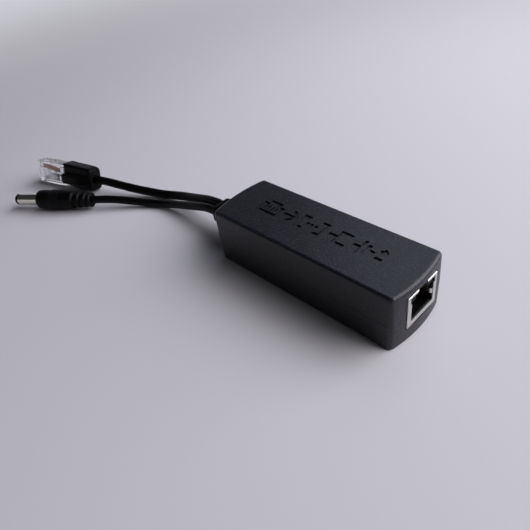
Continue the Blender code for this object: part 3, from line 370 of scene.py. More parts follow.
def grained(name, colour, roughness, scale, bump, drift=0.15, spread=0.2, flecks=0.0,
            fleck=(0.3, 0.3, 0.33), bumpDistance=0.00005, **looks):
    material = newMaterial(name, colour, roughness, **looks)
    tree = material.node_tree
    made = addNode(tree, "ShaderNodeGroup", {"node_tree": grainGroup}, Colour=(*colour, 1.0),
                   Fleck=(*fleck, 1.0), Scale=scale, Drift=drift, Rough=roughness,
                   Spread=spread, Flecks=flecks).outputs
    relief = addNode(tree, "ShaderNodeBump", Strength=bump, Distance=bumpDistance,
                     Height=made["Height"])
    fill(tree, tree.nodes["Principled BSDF"],
         {"Base Color": made["Colour"], "Roughness": made["Roughness"],
          "Normal": relief.outputs["Normal"]})
    return material


def makeClear():
    material = newMaterial("clearPlastic", (0.98, 0.985, 0.99), 0.04, Transmission_Weight=1.0,
                           IOR=1.32)
    tree = material.node_tree
    place = tree.nodes.new("ShaderNodeTexCoord").outputs["Object"]
    haze = addNode(tree, "ShaderNodeTexNoise", Vector=place, Scale=700, Detail=2.0)
    level = addNode(tree, "ShaderNodeMapRange", Value=haze.outputs["Fac"], To_Min=0.0,
                    To_Max=0.16)
    relief = addNode(tree, "ShaderNodeBump", Strength=0.08, Distance=0.0001,
                     Height=haze.outputs["Fac"])
    fill(tree, tree.nodes["Principled BSDF"],
         {"Roughness": level.outputs["Result"], "Normal": relief.outputs["Normal"]})
    return material


metal = {"Metallic": 1.0}
cableLooks = {"drift": 0.2, "Specular_IOR_Level": 0.09}
wireLooks = (0.38, 1500, 0.08, {})
# (slot, material, colour, roughness, scale of the grain, its bump, further settings)
grainedLooks = (
    ("housing_black", "housingBlack", (0.0065, 0.0072, 0.0115), 0.36, 3400, 0.7,
     {"drift": 0.12, "flecks": 0.42, "fleck": (0.09, 0.1, 0.12), "bumpDistance": 0.00007,
      "Specular_IOR_Level": 0.36}),
    ("cable_black", "cableBlack", (0.0016, 0.0016, 0.002), 0.4, 1500, 0.1, cableLooks),
    ("boot_black", "bootBlack", (0.0016, 0.0016, 0.002), 0.44, 2600, 0.25, cableLooks),
    ("insulator_black", "insulatorBlack", (0.002, 0.0018, 0.002), 0.5, 3000, 0.2,
     {"Specular_IOR_Level": 0.08}),
    ("tinned_shield", "tinned", (0.64, 0.62, 0.6), 0.34, 1800, 0.06,
     {"drift": 0.05, **metal}),
    ("contact_gold", "gold", (0.86, 0.62, 0.22), 0.22, 3000, 0.05, {"drift": 0.05, **metal}),
    ("nickel", "nickel", (0.7, 0.67, 0.6), 0.2, 2200, 0.05, {"drift": 0.06, **metal}),
    ("wire_orange", "wireOrange", (0.66, 0.17, 0.06), *wireLooks),
    ("wire_pale_orange", "wirePaleOrange", (0.84, 0.47, 0.32), *wireLooks),
    ("wire_green", "wireGreen", (0.06, 0.34, 0.14), *wireLooks),
    ("wire_pale_green", "wirePaleGreen", (0.6, 0.76, 0.64), *wireLooks),
)
finishes = {slotName: grained(*looks, **more) for slotName, *looks, more in grainedLooks}
finishes["clear_plastic"] = makeClear()

print("stage: materials")

# Camera, fitted to the photograph

view = {
    "sensor": 36.0,
    "focal": 501.5,     # in pixels
    "frame": 530.0,     # in pixels
    "place": (97.54, -103.04, 129.49),      # in millimetres
    "right": (0.7027, 0.6980, -0.1381),
    "up": (-0.3847, 0.5359, 0.7515),
}
camera = bpy.data.cameras.new("camera")
camera.sensor_width = view["sensor"]
camera.lens = view["sensor"] * view["focal"] / view["frame"]
camera.clip_start = 0.01
cameraObject = addObject(camera, "camera")
right = Vector(view["right"])
up = Vector(view["up"])
turn = Matrix((right, up, right.cross(up).normalized())).transposed()
cameraObject.matrix_world = Matrix.Translation(Vector(view["place"]) * mm) @ turn.to_4x4()
bpy.context.scene.camera = cameraObject

# Tails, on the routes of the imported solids

tail = {
    "dataRadius": 2.1 * mm,
    "powerRadius": 1.9 * mm,
    "start": -55.3 * mm,
    "spread": 2.4 * mm,
    "height": 9.9 * mm,
    "reliefEnd": -55.0 * mm,
    "spacing": 0.9 * mm,
    # uneven jackets: (share of the radius, pace, start) of each wave
    "dataSwell": ((0.010, 0.55, 0), (0.006, 1.31, 1)),
    "powerSwell": ((0.008, 0.47, 2), (0.005, 1.13, 0)),
}
dataStart = (tail["start"], tail["spread"], tail["height"])
powerStart = (tail["start"], -tail["spread"], tail["height"])
dataRoute = (
    (-60.3, 2.4, 9.9), (-66.6, 2.5, 9.0), (-73.6, 2.5, 7.3), (-80.0, 2.5, 5.6),
    (-86.6, 2.2, 4.1), (-93.5, 1.0, 2.9), (-100.2, -1.1, 2.3), (-106.2, -3.7, 2.8),
    (-112.4, -6.8, 3.8), (-119.0, -9.9, 5.0), (-125.2, -12.3, 5.9), (-131.2, -14.4, 6.5))
powerRoute = (
    (-60.0, -2.4, 9.8), (-65.3, -2.6, 8.9), (-70.6, -3.0, 7.5), (-76.4, -3.4, 5.9),
    (-82.4, -4.0, 4.4), (-89.0, -5.1, 2.9), (-95.4, -7.3, 2.1), (-101.2, -10.4, 2.3),
    (-106.8, -14.1, 3.1), (-112.1, -17.8, 4.0), (-118.2, -22.3, 4.7))
dataPlug = {
    "rear": Vector((-137.5, -16.6, 6.735)) * mm,
    "heading": math.radians(16.2),
    "roll": math.radians(-106.0),
    "length": 40.0 * mm,
    "jacketEnd": 19.5 * mm,
}
powerPlug = {
    "rear": Vector((-124.0, -27.1, 5.1)) * mm,
    "heading": math.radians(32.5),
    "roll": 0.0,
    "length": 43.9 * mm,
    "barrel": 13.7 * mm,
}


def plugMatrix(form):
    back = Vector((math.cos(form["heading"]), math.sin(form["heading"]), 0))
    return (Matrix.Translation(form["rear"] - back * form["length"])
            @ Matrix.Rotation(form["heading"], 4, "Z") @ Matrix.Rotation(form["roll"], 4, "X"))


dataMatrix = plugMatrix(dataPlug)
powerMatrix = plugMatrix(powerPlug)


def makeTail(kind, start, route, rear, matrix, ends):
    # a jacket from the relief along its route, to the given distances behind a plug's rear
    back = (matrix.to_3x3() @ Vector((1, 0, 0))).normalized()
    points = [start] + [tuple(value * mm for value in point) for point in route]
    line = smoothRoute(points + [tuple(rear + back * end) for end in ends], tail["spacing"])

    def swell(i):
        return sum((size * math.sin(i * pace + first)
                    for size, pace, first in tail[kind + "Swell"]), 1)

    obj = tubeCurve(line, tail[kind + "Radius"], kind + "Tail", 10, swell)
    length = float(np.linalg.norm(np.diff(np.array(line), axis=0), axis=1).sum())
    return finishPiece(obj, kind + "Tail", "cable_black", kind + "_cable"), length


hidden = dataPlug["length"] - dataPlug["jacketEnd"]
dataTail, dataLength = makeTail("data", dataStart, dataRoute, dataPlug["rear"], dataMatrix,
                                (0, -hidden / 2, -hidden))
powerTail, powerLength = makeTail("power", powerStart, powerRoute, powerPlug["rear"],
                                  powerMatrix, (0.3 * mm,))
print("stage: tails", round(dataLength, 4), round(powerLength, 4))

# Housing

housing = {
    "length": 85.0 * mm,
    "width": 28.7 * mm,
    "height": 22.8 * mm,
    "endBow": 1.9 * mm,
    "corner": 2.0 * mm,
    "topFillet": 1.4 * mm,
    "baseFillet": 0.6 * mm,
    "draft": 0.2 * mm,
    "wall": 2.0 * mm,
    "parting": 11.0 * mm,
    "seam": 0.07 * mm,
    "seamEase": 0.06 * mm,
    "guard": 0.3 * mm,      # extra points this far from a rounding keep the faces flat
}
endRadius = ((housing["width"] / 2) ** 2 + housing["endBow"] ** 2) / (2 * housing["endBow"])


def ringAt(z, inset, endSteps=14, cornerSteps=8):
    # the housing's outline with its bowed ends, drawn in by the inset
    centre = housing["length"] / 2 - endRadius
    reach = endRadius - inset
    side = housing["width"] / 2 - inset
    corner = max(housing["corner"] - inset, 0.3 * mm)
    across = side - corner
    along = centre + math.sqrt((reach - corner) ** 2 - across ** 2)
    turnAt = math.atan2(across, along - centre)
    quarter = []
    for i in range(endSteps + 1):
        angle = turnAt * i / endSteps
        quarter.append((centre + reach * math.cos(angle), reach * math.sin(angle)))
    for i in range(1, cornerSteps + 1):
        angle = turnAt + (math.pi / 2 - turnAt) * i / cornerSteps
        quarter.append((along + corner * math.cos(angle), across + corner * math.sin(angle)))
    quarter.append((along - housing["guard"], side))
    half = quarter + [(-x, y) for x, y in reversed(quarter)]
    # the flat end does with one point less on this side
    outline = half + [(x, -y) for x, y in reversed(half)][1:-2]
    return [(x, y, z) for x, y in outline]


def shell(seamZ, endZ, fillet, steps=8):
    # a cup: rings up the outside, over the closed end and down the inside
    rise = 1 if endZ > seamZ else -1
    ease = housing["seamEase"]
    draft = housing["draft"]
    wall = housing["wall"]
    rings = [ringAt(seamZ + rise * ease * up, ease * inset)
             for up, inset in ((0, 1), (0.35, 0.35), (1, 0))]
    for share in (0.02, 0.25, 0.5, 0.75):
        rings.append(ringAt(seamZ + (endZ - seamZ) * share, draft * share))
    rings.append(ringAt(endZ - rise * (fillet + housing["guard"]), draft * 0.97))
    for i in range(steps + 1):
        angle = math.pi / 2 * i / steps
        rings.append(ringAt(endZ - rise * fillet * (1 - math.sin(angle)),
                            draft + fillet * (1 - math.cos(angle))))
    rings.append(ringAt(endZ, draft + fillet + housing["guard"]))
    outer = len(rings)
    rings += [ringAt(endZ - rise * wall, wall + draft), ringAt(seamZ, wall)]
    return loft(rings, True, outer - 1)


jack = {
    "width": 16.1 * mm,
    "height": 13.2 * mm,
    "depth": 21.0 * mm,
    "base": 6.15 * mm,
    "front": 42.3 * mm,
    "shift": 0.35 * mm,
    "window": 0.25 * mm,
    "pitch": 1.02 * mm,
}
relief = {
    "width": 11.8 * mm,
    "depth": 8.8 * mm,
    "height": 9.9 * mm,
    "reach": 12.5 * mm,
    "sink": 0.3 * mm,
    "taper": 0.86,
    "ribs": 4,
    "groove": 0.55 * mm,
    "ease": 0.22 * mm,
    "rim": 1.2 * mm,
    "flange": 1.5 * mm,
    "round": 1.7 * mm,
}
glyphs = {
    "depth": 0.6 * mm,
    "stroke": 1.05 * mm,
    "flare": 0.16 * mm,
    "middle": 0.9,      # in millimetres, as the pictograms
}
# Generic pictograms in millimetres: a share of the stroke's width, then the points of a
# line, which is closed when it ends at its first point
pictograms = (
    # a network port seen from the front
    (1.0, (-27.6, -3.2), (-18.4, -3.2), (-18.4, 1.4), (-20.7, 1.4), (-20.7, 3.3),
     (-25.3, 3.3), (-25.3, 1.4), (-27.6, 1.4), (-27.6, -3.2)),
    *((0.8, (x, -1.9), (x, 0.2)) for x in (-25.6, -23.9, -22.1, -20.4)),
    # an arrow
    (1.1, (-16.2, 0.0), (-10.6, 0.0)),
    (1.1, (-13.2, 2.8), (-10.3, 0.0), (-13.2, -2.8)),
    # a network link: two square brackets with three points
    (1.1, (-6.0, 3.2), (-8.2, 3.2), (-8.2, -3.2), (-6.0, -3.2)),
    *((1.4, (x, 0.0), (x + 0.05, 0.0)) for x in (-4.8, -2.9, -1.0)),
    (1.1, (0.2, 3.2), (2.4, 3.2), (2.4, -3.2), (0.2, -3.2)),
    # a fork: one line in, two out
    (1.1, (5.4, 0.0), (8.6, 0.0)),
    (1.1, (12.9, 3.0), (8.9, 3.0), (8.9, -3.0), (12.9, -3.0)),
    # a battery cell: a long and a short bar between two lines
    (1.1, (15.9, 0.0), (18.2, 0.0)),
    (1.1, (18.5, 3.3), (18.5, -3.3)),
    (1.5, (20.8, 1.9), (20.8, -1.9)),
    (1.1, (21.1, 0.0), (23.4, 0.0)),
    # a direct current's two poles
    (1.1, (26.4, 2.9), (26.4, 0.9)),
    (1.1, (25.4, 1.9), (27.4, 1.9)),
    (1.1, (25.4, -1.9), (27.4, -1.9)),
)


def cutWindows(half):
    # the openings for the jack and for the relief's neck
    grow = jack["window"]
    across = jack["width"] / 2 + grow
    front, base, shift = jack["front"], jack["base"], jack["shift"]
    half = cut(half, (front - jack["depth"], shift - across, base - grow),
               (front + 3 * mm, shift + across, base + jack["height"] + grow))
    halfWidth = relief["width"] / 2 - relief["groove"] + play
    halfDepth = relief["depth"] / 2 - relief["groove"] + play
    end = -housing["length"] / 2
    return cut(half, (end - 2 * mm, -halfWidth, relief["height"] - halfDepth),
               (end + 4 * mm, halfWidth, relief["height"] + halfDepth))


def makeUpperHousing():
    top = housing["height"]
    upper = cutWindows(shell(housing["parting"] + housing["seam"], top, housing["topFillet"]))
    for share, *points in pictograms:
        closed = points[0] == points[-1]
        line = [(x * mm, (y + glyphs["middle"]) * mm)
                for x, y in (points[:-1] if closed else points)]
        upper = combined(upper, stroke(line, glyphs["stroke"] * share, top - glyphs["depth"],
                                       top + 0.3 * mm, closed, glyphs["flare"]))
    return finishPiece(upper, "upperHousing", "housing_black", "upper_shell", angle=40)


upperHousing = makeUpperHousing()
lowerHousing = finishPiece(cutWindows(shell(housing["parting"], 0.0, housing["baseFillet"])),
                           "lowerHousing", "housing_black", "lower_shell", angle=40)
print("stage: housing", len(upperHousing.data.polygons), len(lowerHousing.data.polygons))

# Jack

shield = {
    "sheet": 0.35 * mm,
    "stile": 1.9 * mm,
    "rail": 2.2 * mm,
    "strip": 0.9 * mm,
    "gap": 5.0 * mm,
    "shoulder": 9.8 * mm,
    "shoulderReach": 0.6 * mm,
    "bend": 0.3 * mm,
    "finger": 0.6,          # share of the sheet
    # how far behind the front and out of the opening the fingers' points lie, in millimetres
    "sideBend": ((0.15, 0.25), (0.25, -0.25), (0.9, -0.62), (2.2, -0.55), (4.5, 0.1)),
    "topBend": ((0.2, 0.2), (0.25, -0.25), (0.8, -0.8), (2.4, -1.3), (5.2, -0.4)),
}
jackMatrix = Matrix.Translation((0, jack["shift"], 0))
cavity = {
    "width": 11.9 * mm,
    "floor": 2.4 * mm,
    "height": 7.2 * mm,
    "depth": 15.4 * mm,
    "keyWidth": 6.3 * mm,
    "keyHeight": 1.5 * mm,
    "slotWidth": 3.6 * mm,
    "slotHeight": 1.1 * mm,
}
spring = {
    "front": 4.2 * mm,      # behind the jack's front
    "radius": 0.22 * mm,
    "rise": 1.8 * mm,
    # shares of the way back and of the rise
    "line": ((0.0, 0.0), (0.12, 0.02), (0.22, 0.12), (0.55, 0.62), (0.85, 0.96), (1.0, 1.0)),
}


def makeShield():
    base = jack["base"]
    top = base + jack["height"]
    front = jack["front"]
    back = front - jack["depth"]
    sheet = shield["sheet"]
    bend = shield["bend"]
    inner = jack["width"] / 2 - sheet
    can = loft([roundedSection(along, jack["width"] - 2 * inset, jack["height"] - 2 * inset,
                               bend, (base + top) / 2, 5)
                for along, inset in ((back, 0.0), (front - bend, 0.0),
                                     (front - bend * 0.5, bend * 0.13),
                                     (front - bend * 0.13, bend * 0.5), (front, bend))])
    can = cut(can, (back + sheet, -inner, base + sheet), (front - sheet, inner, top - sheet))
    half = jack["width"] / 2 - shield["stile"]
    wide = half + shield["shoulderReach"]
    shoulder = base + shield["shoulder"]
    strip = top - shield["strip"]
    gap = shield["gap"] / 2
    right = [(half, base + shield["rail"]), (half, shoulder), (wide, shoulder), (wide, strip),
             (gap, strip), (gap, top - sheet)]
    left = [(-y, z) for y, z in reversed(right)]
    opening = left[-1:] + right + left[:-1]
    can = combined(can, loft([[(x, y, z) for y, z in opening]
                              for x in (front - 0.9 * mm, front + 0.5 * mm)]))
    # open below, and in the middle above
    can = cut(can, (back + sheet, -inner, base - mm), (front - sheet, inner, base + 2 * sheet))
    can = cut(can, (front - 4 * mm, -gap, top - 2 * sheet), (front + mm, gap, top + mm))
    return finishPiece(can, "jackShield", "tinned_shield", "jack_shield", angle=30,
                       matrix=jackMatrix)


def makeFingers():
    # bent fingers that the sheet turns into the opening: two at the sides, two above
    level = jack["base"] + cavity["floor"] + cavity["height"] / 2
    sheet = shield["sheet"] * shield["finger"]
    for kind, edge, low, high in (
            ("side", jack["width"] / 2 - shield["stile"], level - mm, level + mm),
            ("top", jack["base"] + jack["height"] - shield["strip"], 3.1 * mm, 5.9 * mm)):
        line = roundedProfile([(jack["front"] - back * mm, edge + out * mm)
                               for back, out in shield[kind + "Bend"]], 0.4 * mm)
        for i, side in enumerate((-1, 1)):
            sections = []
            for x, near in line:
                far = near + sheet
                corners = ((near, low), (near, high), (far, high), (far, low))
                sections.append([(x, side * a, b) if kind == "side" else (x, side * b, a)
                                 for a, b in corners])
            finishPiece(loft(sections), f"{kind}Finger{i + 1}", "tinned_shield", angle=30,
                        matrix=jackMatrix)


def makeJackInsulator():
    base = jack["base"]
    front = jack["front"]
    inset = shield["sheet"] + play
    across = jack["width"] / 2 - inset
    body = block((front - jack["depth"] + inset, -across, base + 0.1 * mm),
                 (front - inset, across, base + jack["height"] - inset))
    floor = base + cavity["floor"]
    back = front - cavity["depth"]
    key = floor + cavity["height"]
    slot = key + cavity["keyHeight"]
    for width, low, high in ((cavity["width"], floor, key), (cavity["keyWidth"], key - mm, slot),
                             (cavity["slotWidth"], slot - mm, slot + cavity["slotHeight"])):
        body = cut(body, (back, -width / 2, low), (front + mm, width / 2, high))
    # room for the fingers: depth, middle, half width, low and high
    level = floor + cavity["height"] / 2
    for side in (-1, 1):
        for deep, middle, half, low, high in (
                (5 * mm, 5.5 * mm, 1.2 * mm, level - 1.3 * mm, level + 1.3 * mm),
                (5.6 * mm, 4.5 * mm, 1.6 * mm, base + 10.6 * mm, base + 13.2 * mm)):
            body = cut(body, (front - deep, side * middle - half, low),
                       (front + mm, side * middle + half, high))
    for i in range(8):
        y = (i - 3.5) * jack["pitch"]
        body = cut(body, (back + 0.3 * mm, y - 0.3 * mm, floor - 0.35 * mm),
                   (front - 4.5 * mm, y + 0.3 * mm, floor + 0.2 * mm))
    body = modified(body, "BEVEL", width=0.12 * mm, segments=1, limit_method="ANGLE",
                    angle_limit=math.radians(50))
    return finishPiece(body, "jackInsulator", "insulator_black", "jack_housing", angle=30,
                       matrix=jackMatrix)


def makeJackSprings():
    radius = spring["radius"]
    front = jack["front"] - spring["front"]
    back = jack["front"] - cavity["depth"] + 0.3 * mm + radius
    floor = jack["base"] + cavity["floor"] + play + radius
    for i in range(8):
        y = (i - 3.5) * jack["pitch"] + jack["shift"]
        points = [(front - along * (front - back), y, floor + up * spring["rise"])
                  for along, up in spring["line"]]
        finishPiece(tubeCurve(smoothRoute(points, 0.5 * mm), radius, "spring", 4),
                    f"jackSpring{i + 1}", "contact_gold", f"jack_contact_{i + 1}")


makeShield()
makeFingers()
makeJackInsulator()
makeJackSprings()
print("stage: jack")


# Strain relief

def makeRelief():
    width = relief["width"]
    depth = relief["depth"]
    groove = 2 * relief["groove"]
    rim = 2 * relief["rim"]
    ease = relief["ease"]
    # the flange's outer face lies just inside the bowed end wall
    end = housing["length"] / 2
    inner = endRadius - housing["wall"]
    seat = -(end - endRadius + math.sqrt(inner ** 2 - (width / 2 + relief["rim"]) ** 2)) + 0.3 * mm
    start = -end - relief["sink"]
    line = [(x, width + more, depth + more)
            for x, more in ((seat + relief["flange"], rim), (seat, rim),
                            (seat - 0.02 * mm, -groove), (start, -groove))]
    count = 2 * relief["ribs"] - 1
    pitch = (relief["reach"] - relief["sink"]) / count
    for edge in range(count + 1):
        # even edges begin a rib and odd ones end it
        scale = 1 + (relief["taper"] - 1) * (edge / count)
        full, low, soft = ((width * scale - less, depth * scale - less)
                           for less in (0, groove, 0.5 * ease))
        at = start - pitch * edge
        if edge % 2 == 0:
            line += [(at, *low), (at - 0.04 * mm, *soft), (at - ease, *full)]
        else:
            line += [(at + ease, *full), (at + 0.04 * mm, *soft)]
            if edge < count:
                line.append((at, *low))
    body = loft([roundedSection(x, w, h, relief["round"], relief["height"], 8)
                 for x, w, h in line])
    start = tail["reliefEnd"] - 0.4 * mm
    for y, kind in ((tail["spread"], "data"), (-tail["spread"], "power")):
        hole = tail[kind + "Radius"] + 0.12 * mm
        bore = turned([(0, 0), (0, hole), (3.2 * mm, hole), (3.2 * mm, 0)], 40)
        bore.data.transform(Matrix.Translation((start, y, relief["height"])))
        body = combined(body, bore)
    return finishPiece(body, "strainRelief", "boot_black", "strain_relief", angle=38)


strainRelief = makeRelief()
print("stage: strain relief")

# Data plug, along its own axis from the tip

plug = {
    "length": 21.5 * mm,
    "nose": 0.05 * mm,
    "width": 11.7 * mm,
    "height": 6.6 * mm,
    "mouth": 5.0 * mm,
    "wireRise": -0.2 * mm,
    "wireRadius": 0.49 * mm,
    "pitch": 1.02 * mm,
    "blade": 0.35 * mm,
    "bladeSlot": (0.95 * mm, 5.6 * mm),
    "sideStep": (2.2 * mm, 14.0 * mm, 0.25 * mm),
    # the two pressed bars of the strain clamp: start, end, half width, depth in millimetres
    "bars": ((7.6, 9.0, 3.6, 1.1), (13.6, 15.6, 3.4, 0.6)),
    # the two steps of the latch: (width, end)
    "latch": ((6.0 * mm, 9.4 * mm), (3.2 * mm, 19.0 * mm)),
    "latchRoot": 2.1 * mm,
    "latchDrop": 0.7 * mm,
    "latchRise": 3.0 * mm,
    "latchSheet": 0.9 * mm,
    # (slot, colour of the wire, where it leaves the jacket across and up, in millimetres)
    "wires": ((1, "pale_orange", -1.45, 0.2), (2, "orange", -0.55, -0.6),
              (3, "pale_green", -0.2, 0.8), (6, "green", 0.9, -0.2)),
}


def slotY(position):
    return (position - 4.5) * plug["pitch"]


def makePlugBody():
    length = plug["length"]
    width = plug["width"] / 2
    height = plug["height"] / 2
    rise = plug["wireRise"]
    body = block((plug["nose"], -width, -height), (length, width, height), 0.3 * mm, 3)
    start, end, deep = plug["sideStep"]
    for side in (-width, width):
        body = cut(body, (start, side - deep, -height - mm), (end, side + deep, -0.6 * mm))
    # the wires' channel, the cable's mouth and the blades' slots
    span = 4 * plug["pitch"] + play / 2
    channel = plug["wireRadius"] + play
    mouth = tail["dataRadius"] + 0.3 * mm
    body = cut(body, (1.6 * mm, -span, rise - channel),
               (length - plug["mouth"] + mm, span, rise + channel), play, 2)
    body = cut(body, (length - plug["mouth"], -span, -mouth), (length + mm, span, mouth),
               0.6 * mm, 3)
    half = plug["blade"] / 2 + play
    start, end = plug["bladeSlot"]
    for i in range(8):
        y = slotY(i + 1)
        body = cut(body, (start, y - half, rise), (end, y + half, 2 * height))
    for start, end, half, deep in plug["bars"]:
        body = cut(body, (start * mm, -half * mm, height - deep * mm),
                   (end * mm, half * mm, 2 * height))
    # the latch leaves the nose and rises towards the hood of the boot
    thick = plug["latchSheet"]
    root = plug["latchRoot"]
    foot = -height - plug["latchDrop"]
    slope = (plug["latchRise"] - plug["latchDrop"]) / (plug["latch"][-1][1] - root)
    for wide, end in plug["latch"]:
        low = foot - slope * (end - root)
        line = roundedProfile([(1.2 * mm, thick - height), (1.2 * mm, -height - 0.2 * mm),
                               (root, foot), (end, low), (end, low + thick),
                               (root + thick, -height), (root + thick, thick - height)],
                              0.35 * mm, 3)
        body = combined(body, sideShape(line, wide / 2), "UNION")
    return finishPiece(body, "plugBody", "clear_plastic", "data_plug_body", angle=32,
                       matrix=dataMatrix, flat=False)


def makeBlades():
    top = plug["height"] / 2 - 0.3 * mm
    low = plug["wireRise"] + plug["wireRadius"] + play
    line = roundedProfile([(1.1 * mm, low), (1.1 * mm, top), (3.2 * mm, top + 0.0001 * mm),
                           (5.3 * mm, top), (5.3 * mm, low)], 0.6 * mm, 5)
    return [finishPiece(sideShape(line, plug["blade"] / 2, slotY(i + 1)), f"plugBlade{i + 1}",
                        "contact_gold", f"data_plug_contact_{i + 1}", angle=30,
                        matrix=dataMatrix) for i in range(8)]


def makePlugWires():
    rise = plug["wireRise"]
    split = plug["length"] - plug["mouth"]
    end = dataPlug["jacketEnd"] - 0.3 * mm
    wires = []
    for slotNumber, colour, gather, level in plug["wires"]:
        y = slotY(slotNumber)
        gather *= mm
        level *= mm
        points = [(1.9 * mm, y, rise), (5.5 * mm, y, rise),
                  (9.5 * mm, y * 0.72 + gather * 0.28, rise),
                  (split, y * 0.25 + gather * 0.75, rise * 0.9 + level * 0.1),
                  ((split + end) / 2, y * 0.1 + gather * 0.9, (rise + level) / 2),
                  (end, gather, level)]
        route = [dataMatrix @ Vector(point) for point in smoothRoute(points, 0.5 * mm)]
        wires.append(finishPiece(tubeCurve(route, plug["wireRadius"], "wire", 5),
                                 f"plugWire{slotNumber}", "wire_" + colour,
                                 f"data_plug_wire_{slotNumber}"))
    return wires


boot = {
    "depth": 8.0 * mm,
    "round": 1.6 * mm,
    # distance from the tip, reach to each side, in millimetres
    "sides": ((20.2, 6.6, 3.6), (22.0, 6.65, 4.4), (25.0, 6.6, 5.1), (28.0, 6.5, 5.75),
              (31.0, 6.4, 6.15), (34.0, 6.25, 6.1), (37.2, 6.1, 6.0)),
    # distance from the rear in millimetres, shares of the width and of the depth
    "tail": ((2.4, 0.985, 0.99), (0.9, 0.94, 0.96), (0.3, 0.88, 0.9), (0.0, 0.8, 0.82)),
    "hood": (5.2 * mm, 3.0 * mm),
    "hoodRound": 1.4 * mm,
    "hoodShift": 0.5 * mm,
    "buried": 1.0 * mm,
    # distance from the tip, shares of the hood's width and rise
    "hoodLine": ((21.6, 0.8, 0.8), (21.75, 0.93, 0.93), (22.1, 1.0, 1.0), (27.8, 1.0, 1.02),
                 (33.5, 1.0, 1.0), (35.2, 0.98, 0.83), (36.5, 0.92, 0.5), (38.3, 0.77, 0.08)),
    "start": 19.0 * mm,
}


def makeBoot():
    # cut back on one side, with a hood behind the latch
    rear = dataPlug["length"]
    depth = boot["depth"]
    start = boot["start"]
    end = plug["length"]
    sections = []
    for along, left, right in boot["sides"]:
        width = (left + right) * mm
        shift = (right - left) / 2 * mm
        sections.append(roundedSection(along * mm, width, depth,
                                       boot["round"] * (0.6 if along < 23 else 1), 0, 8, shift))
    for back, wide, high in boot["tail"]:
        sections.append(roundedSection(rear - back * mm, width * wide, depth * high,
                                       boot["round"], 0, 8, shift))
    width, rise = boot["hood"]
    hood = []
    for along, wide, high in boot["hoodLine"]:
        thick = rise * high + boot["buried"]
        hood.append(roundedSection(along * mm, width * wide, thick,
                                   min(boot["hoodRound"], thick / 2 - 0.05 * mm),
                                   -depth / 2 - rise * high + thick / 2, 6, boot["hoodShift"]))
    body = combined(loft(sections), loft(hood), "UNION")
    inner = plug["width"] / 2 + play
    innerDepth = plug["height"] / 2 + play
    body = cut(body, (start, -inner, -innerDepth), (end + 0.3 * mm, inner, innerDepth))
    body = cut(body, (start, -plug["width"], -depth), (end, plug["width"], -plug["height"] / 2))
    radius = tail["dataRadius"] + play
    body = combined(body, turned([(end - mm, 0), (end - mm, radius), (rear + mm, radius),
                                  (rear + mm, 0)], 40))
    return finishPiece(body, "plugBoot", "boot_black", "data_plug_boot", angle=40,
                       matrix=dataMatrix)


plugBody = makePlugBody()
plugBlades = makeBlades()
plugWires = makePlugWires()
plugBoot = makeBoot()
print("stage: data plug")

# Power plug, along its own axis from the tip

barrel = {
    "radius": 2.75 * mm,
    "wall": 0.4 * mm,
    "bore": 1.05 * mm,
    "contact": 0.2 * mm,
    "tip": 1.6 * mm,
    "socket": 2.0 * mm,
}
grip = {
    "radius": 4.85 * mm,
    "waist": 4.35 * mm,
    "tail": 3.7 * mm,
    "ribs": 4,
    "ribStart": 8.35 * mm,
    "ribPitch": 1.5 * mm,
    "ribRise": 0.15 * mm,
    "ribDip": 0.06 * mm,
    "taperStart": 13.6 * mm,
    "reliefStart": 20.0 * mm,
    "rings": 3,
    "ringPitch": 3.55 * mm,
    "ringGroove": 0.85 * mm,
    "ringStep": 0.2 * mm,
}


def makePowerPlug():
    radius = barrel["radius"]
    tip = barrel["tip"]
    inner = radius - barrel["wall"]
    start = tip + 0.05 * mm
    end = powerPlug["barrel"] + barrel["socket"] - 0.3 * mm
    sleeve = turned([(start, inner), (start, radius - 0.12 * mm), (start + 0.12 * mm, radius),
                     (end, radius), (end, inner)], 72, True)

    low = barrel["bore"]
    high = low + barrel["contact"]
    bore = high + play
    core = inner - play
    boreEnd = powerPlug["barrel"] - mm
    nose = roundedProfile([(0.45 * mm, bore), (0.0, bore + 0.35 * mm), (0.0, radius - 0.6 * mm),
                           (0.6 * mm, radius), (tip, radius)], 0.35 * mm, 4)
    insulator = turned([(boreEnd, 0), (boreEnd, bore)] + nose
                       + [(tip, core), (end, core), (end, 0)], 72)
    near = 0.8 * mm
    far = boreEnd - 0.3 * mm
    contact = turned([(near, low), (near, high), (far, high), (far, low)], 48, True)
    return [finishPiece(obj, "barrel" + name, slotName, "power_plug_" + name.lower(),
                        angle=angle, matrix=powerMatrix)
            for obj, name, slotName, angle in ((sleeve, "Sleeve", "nickel", 30),
                                               (insulator, "Insulator", "insulator_black", 35),
                                               (contact, "Contact", "contact_gold", 30))]


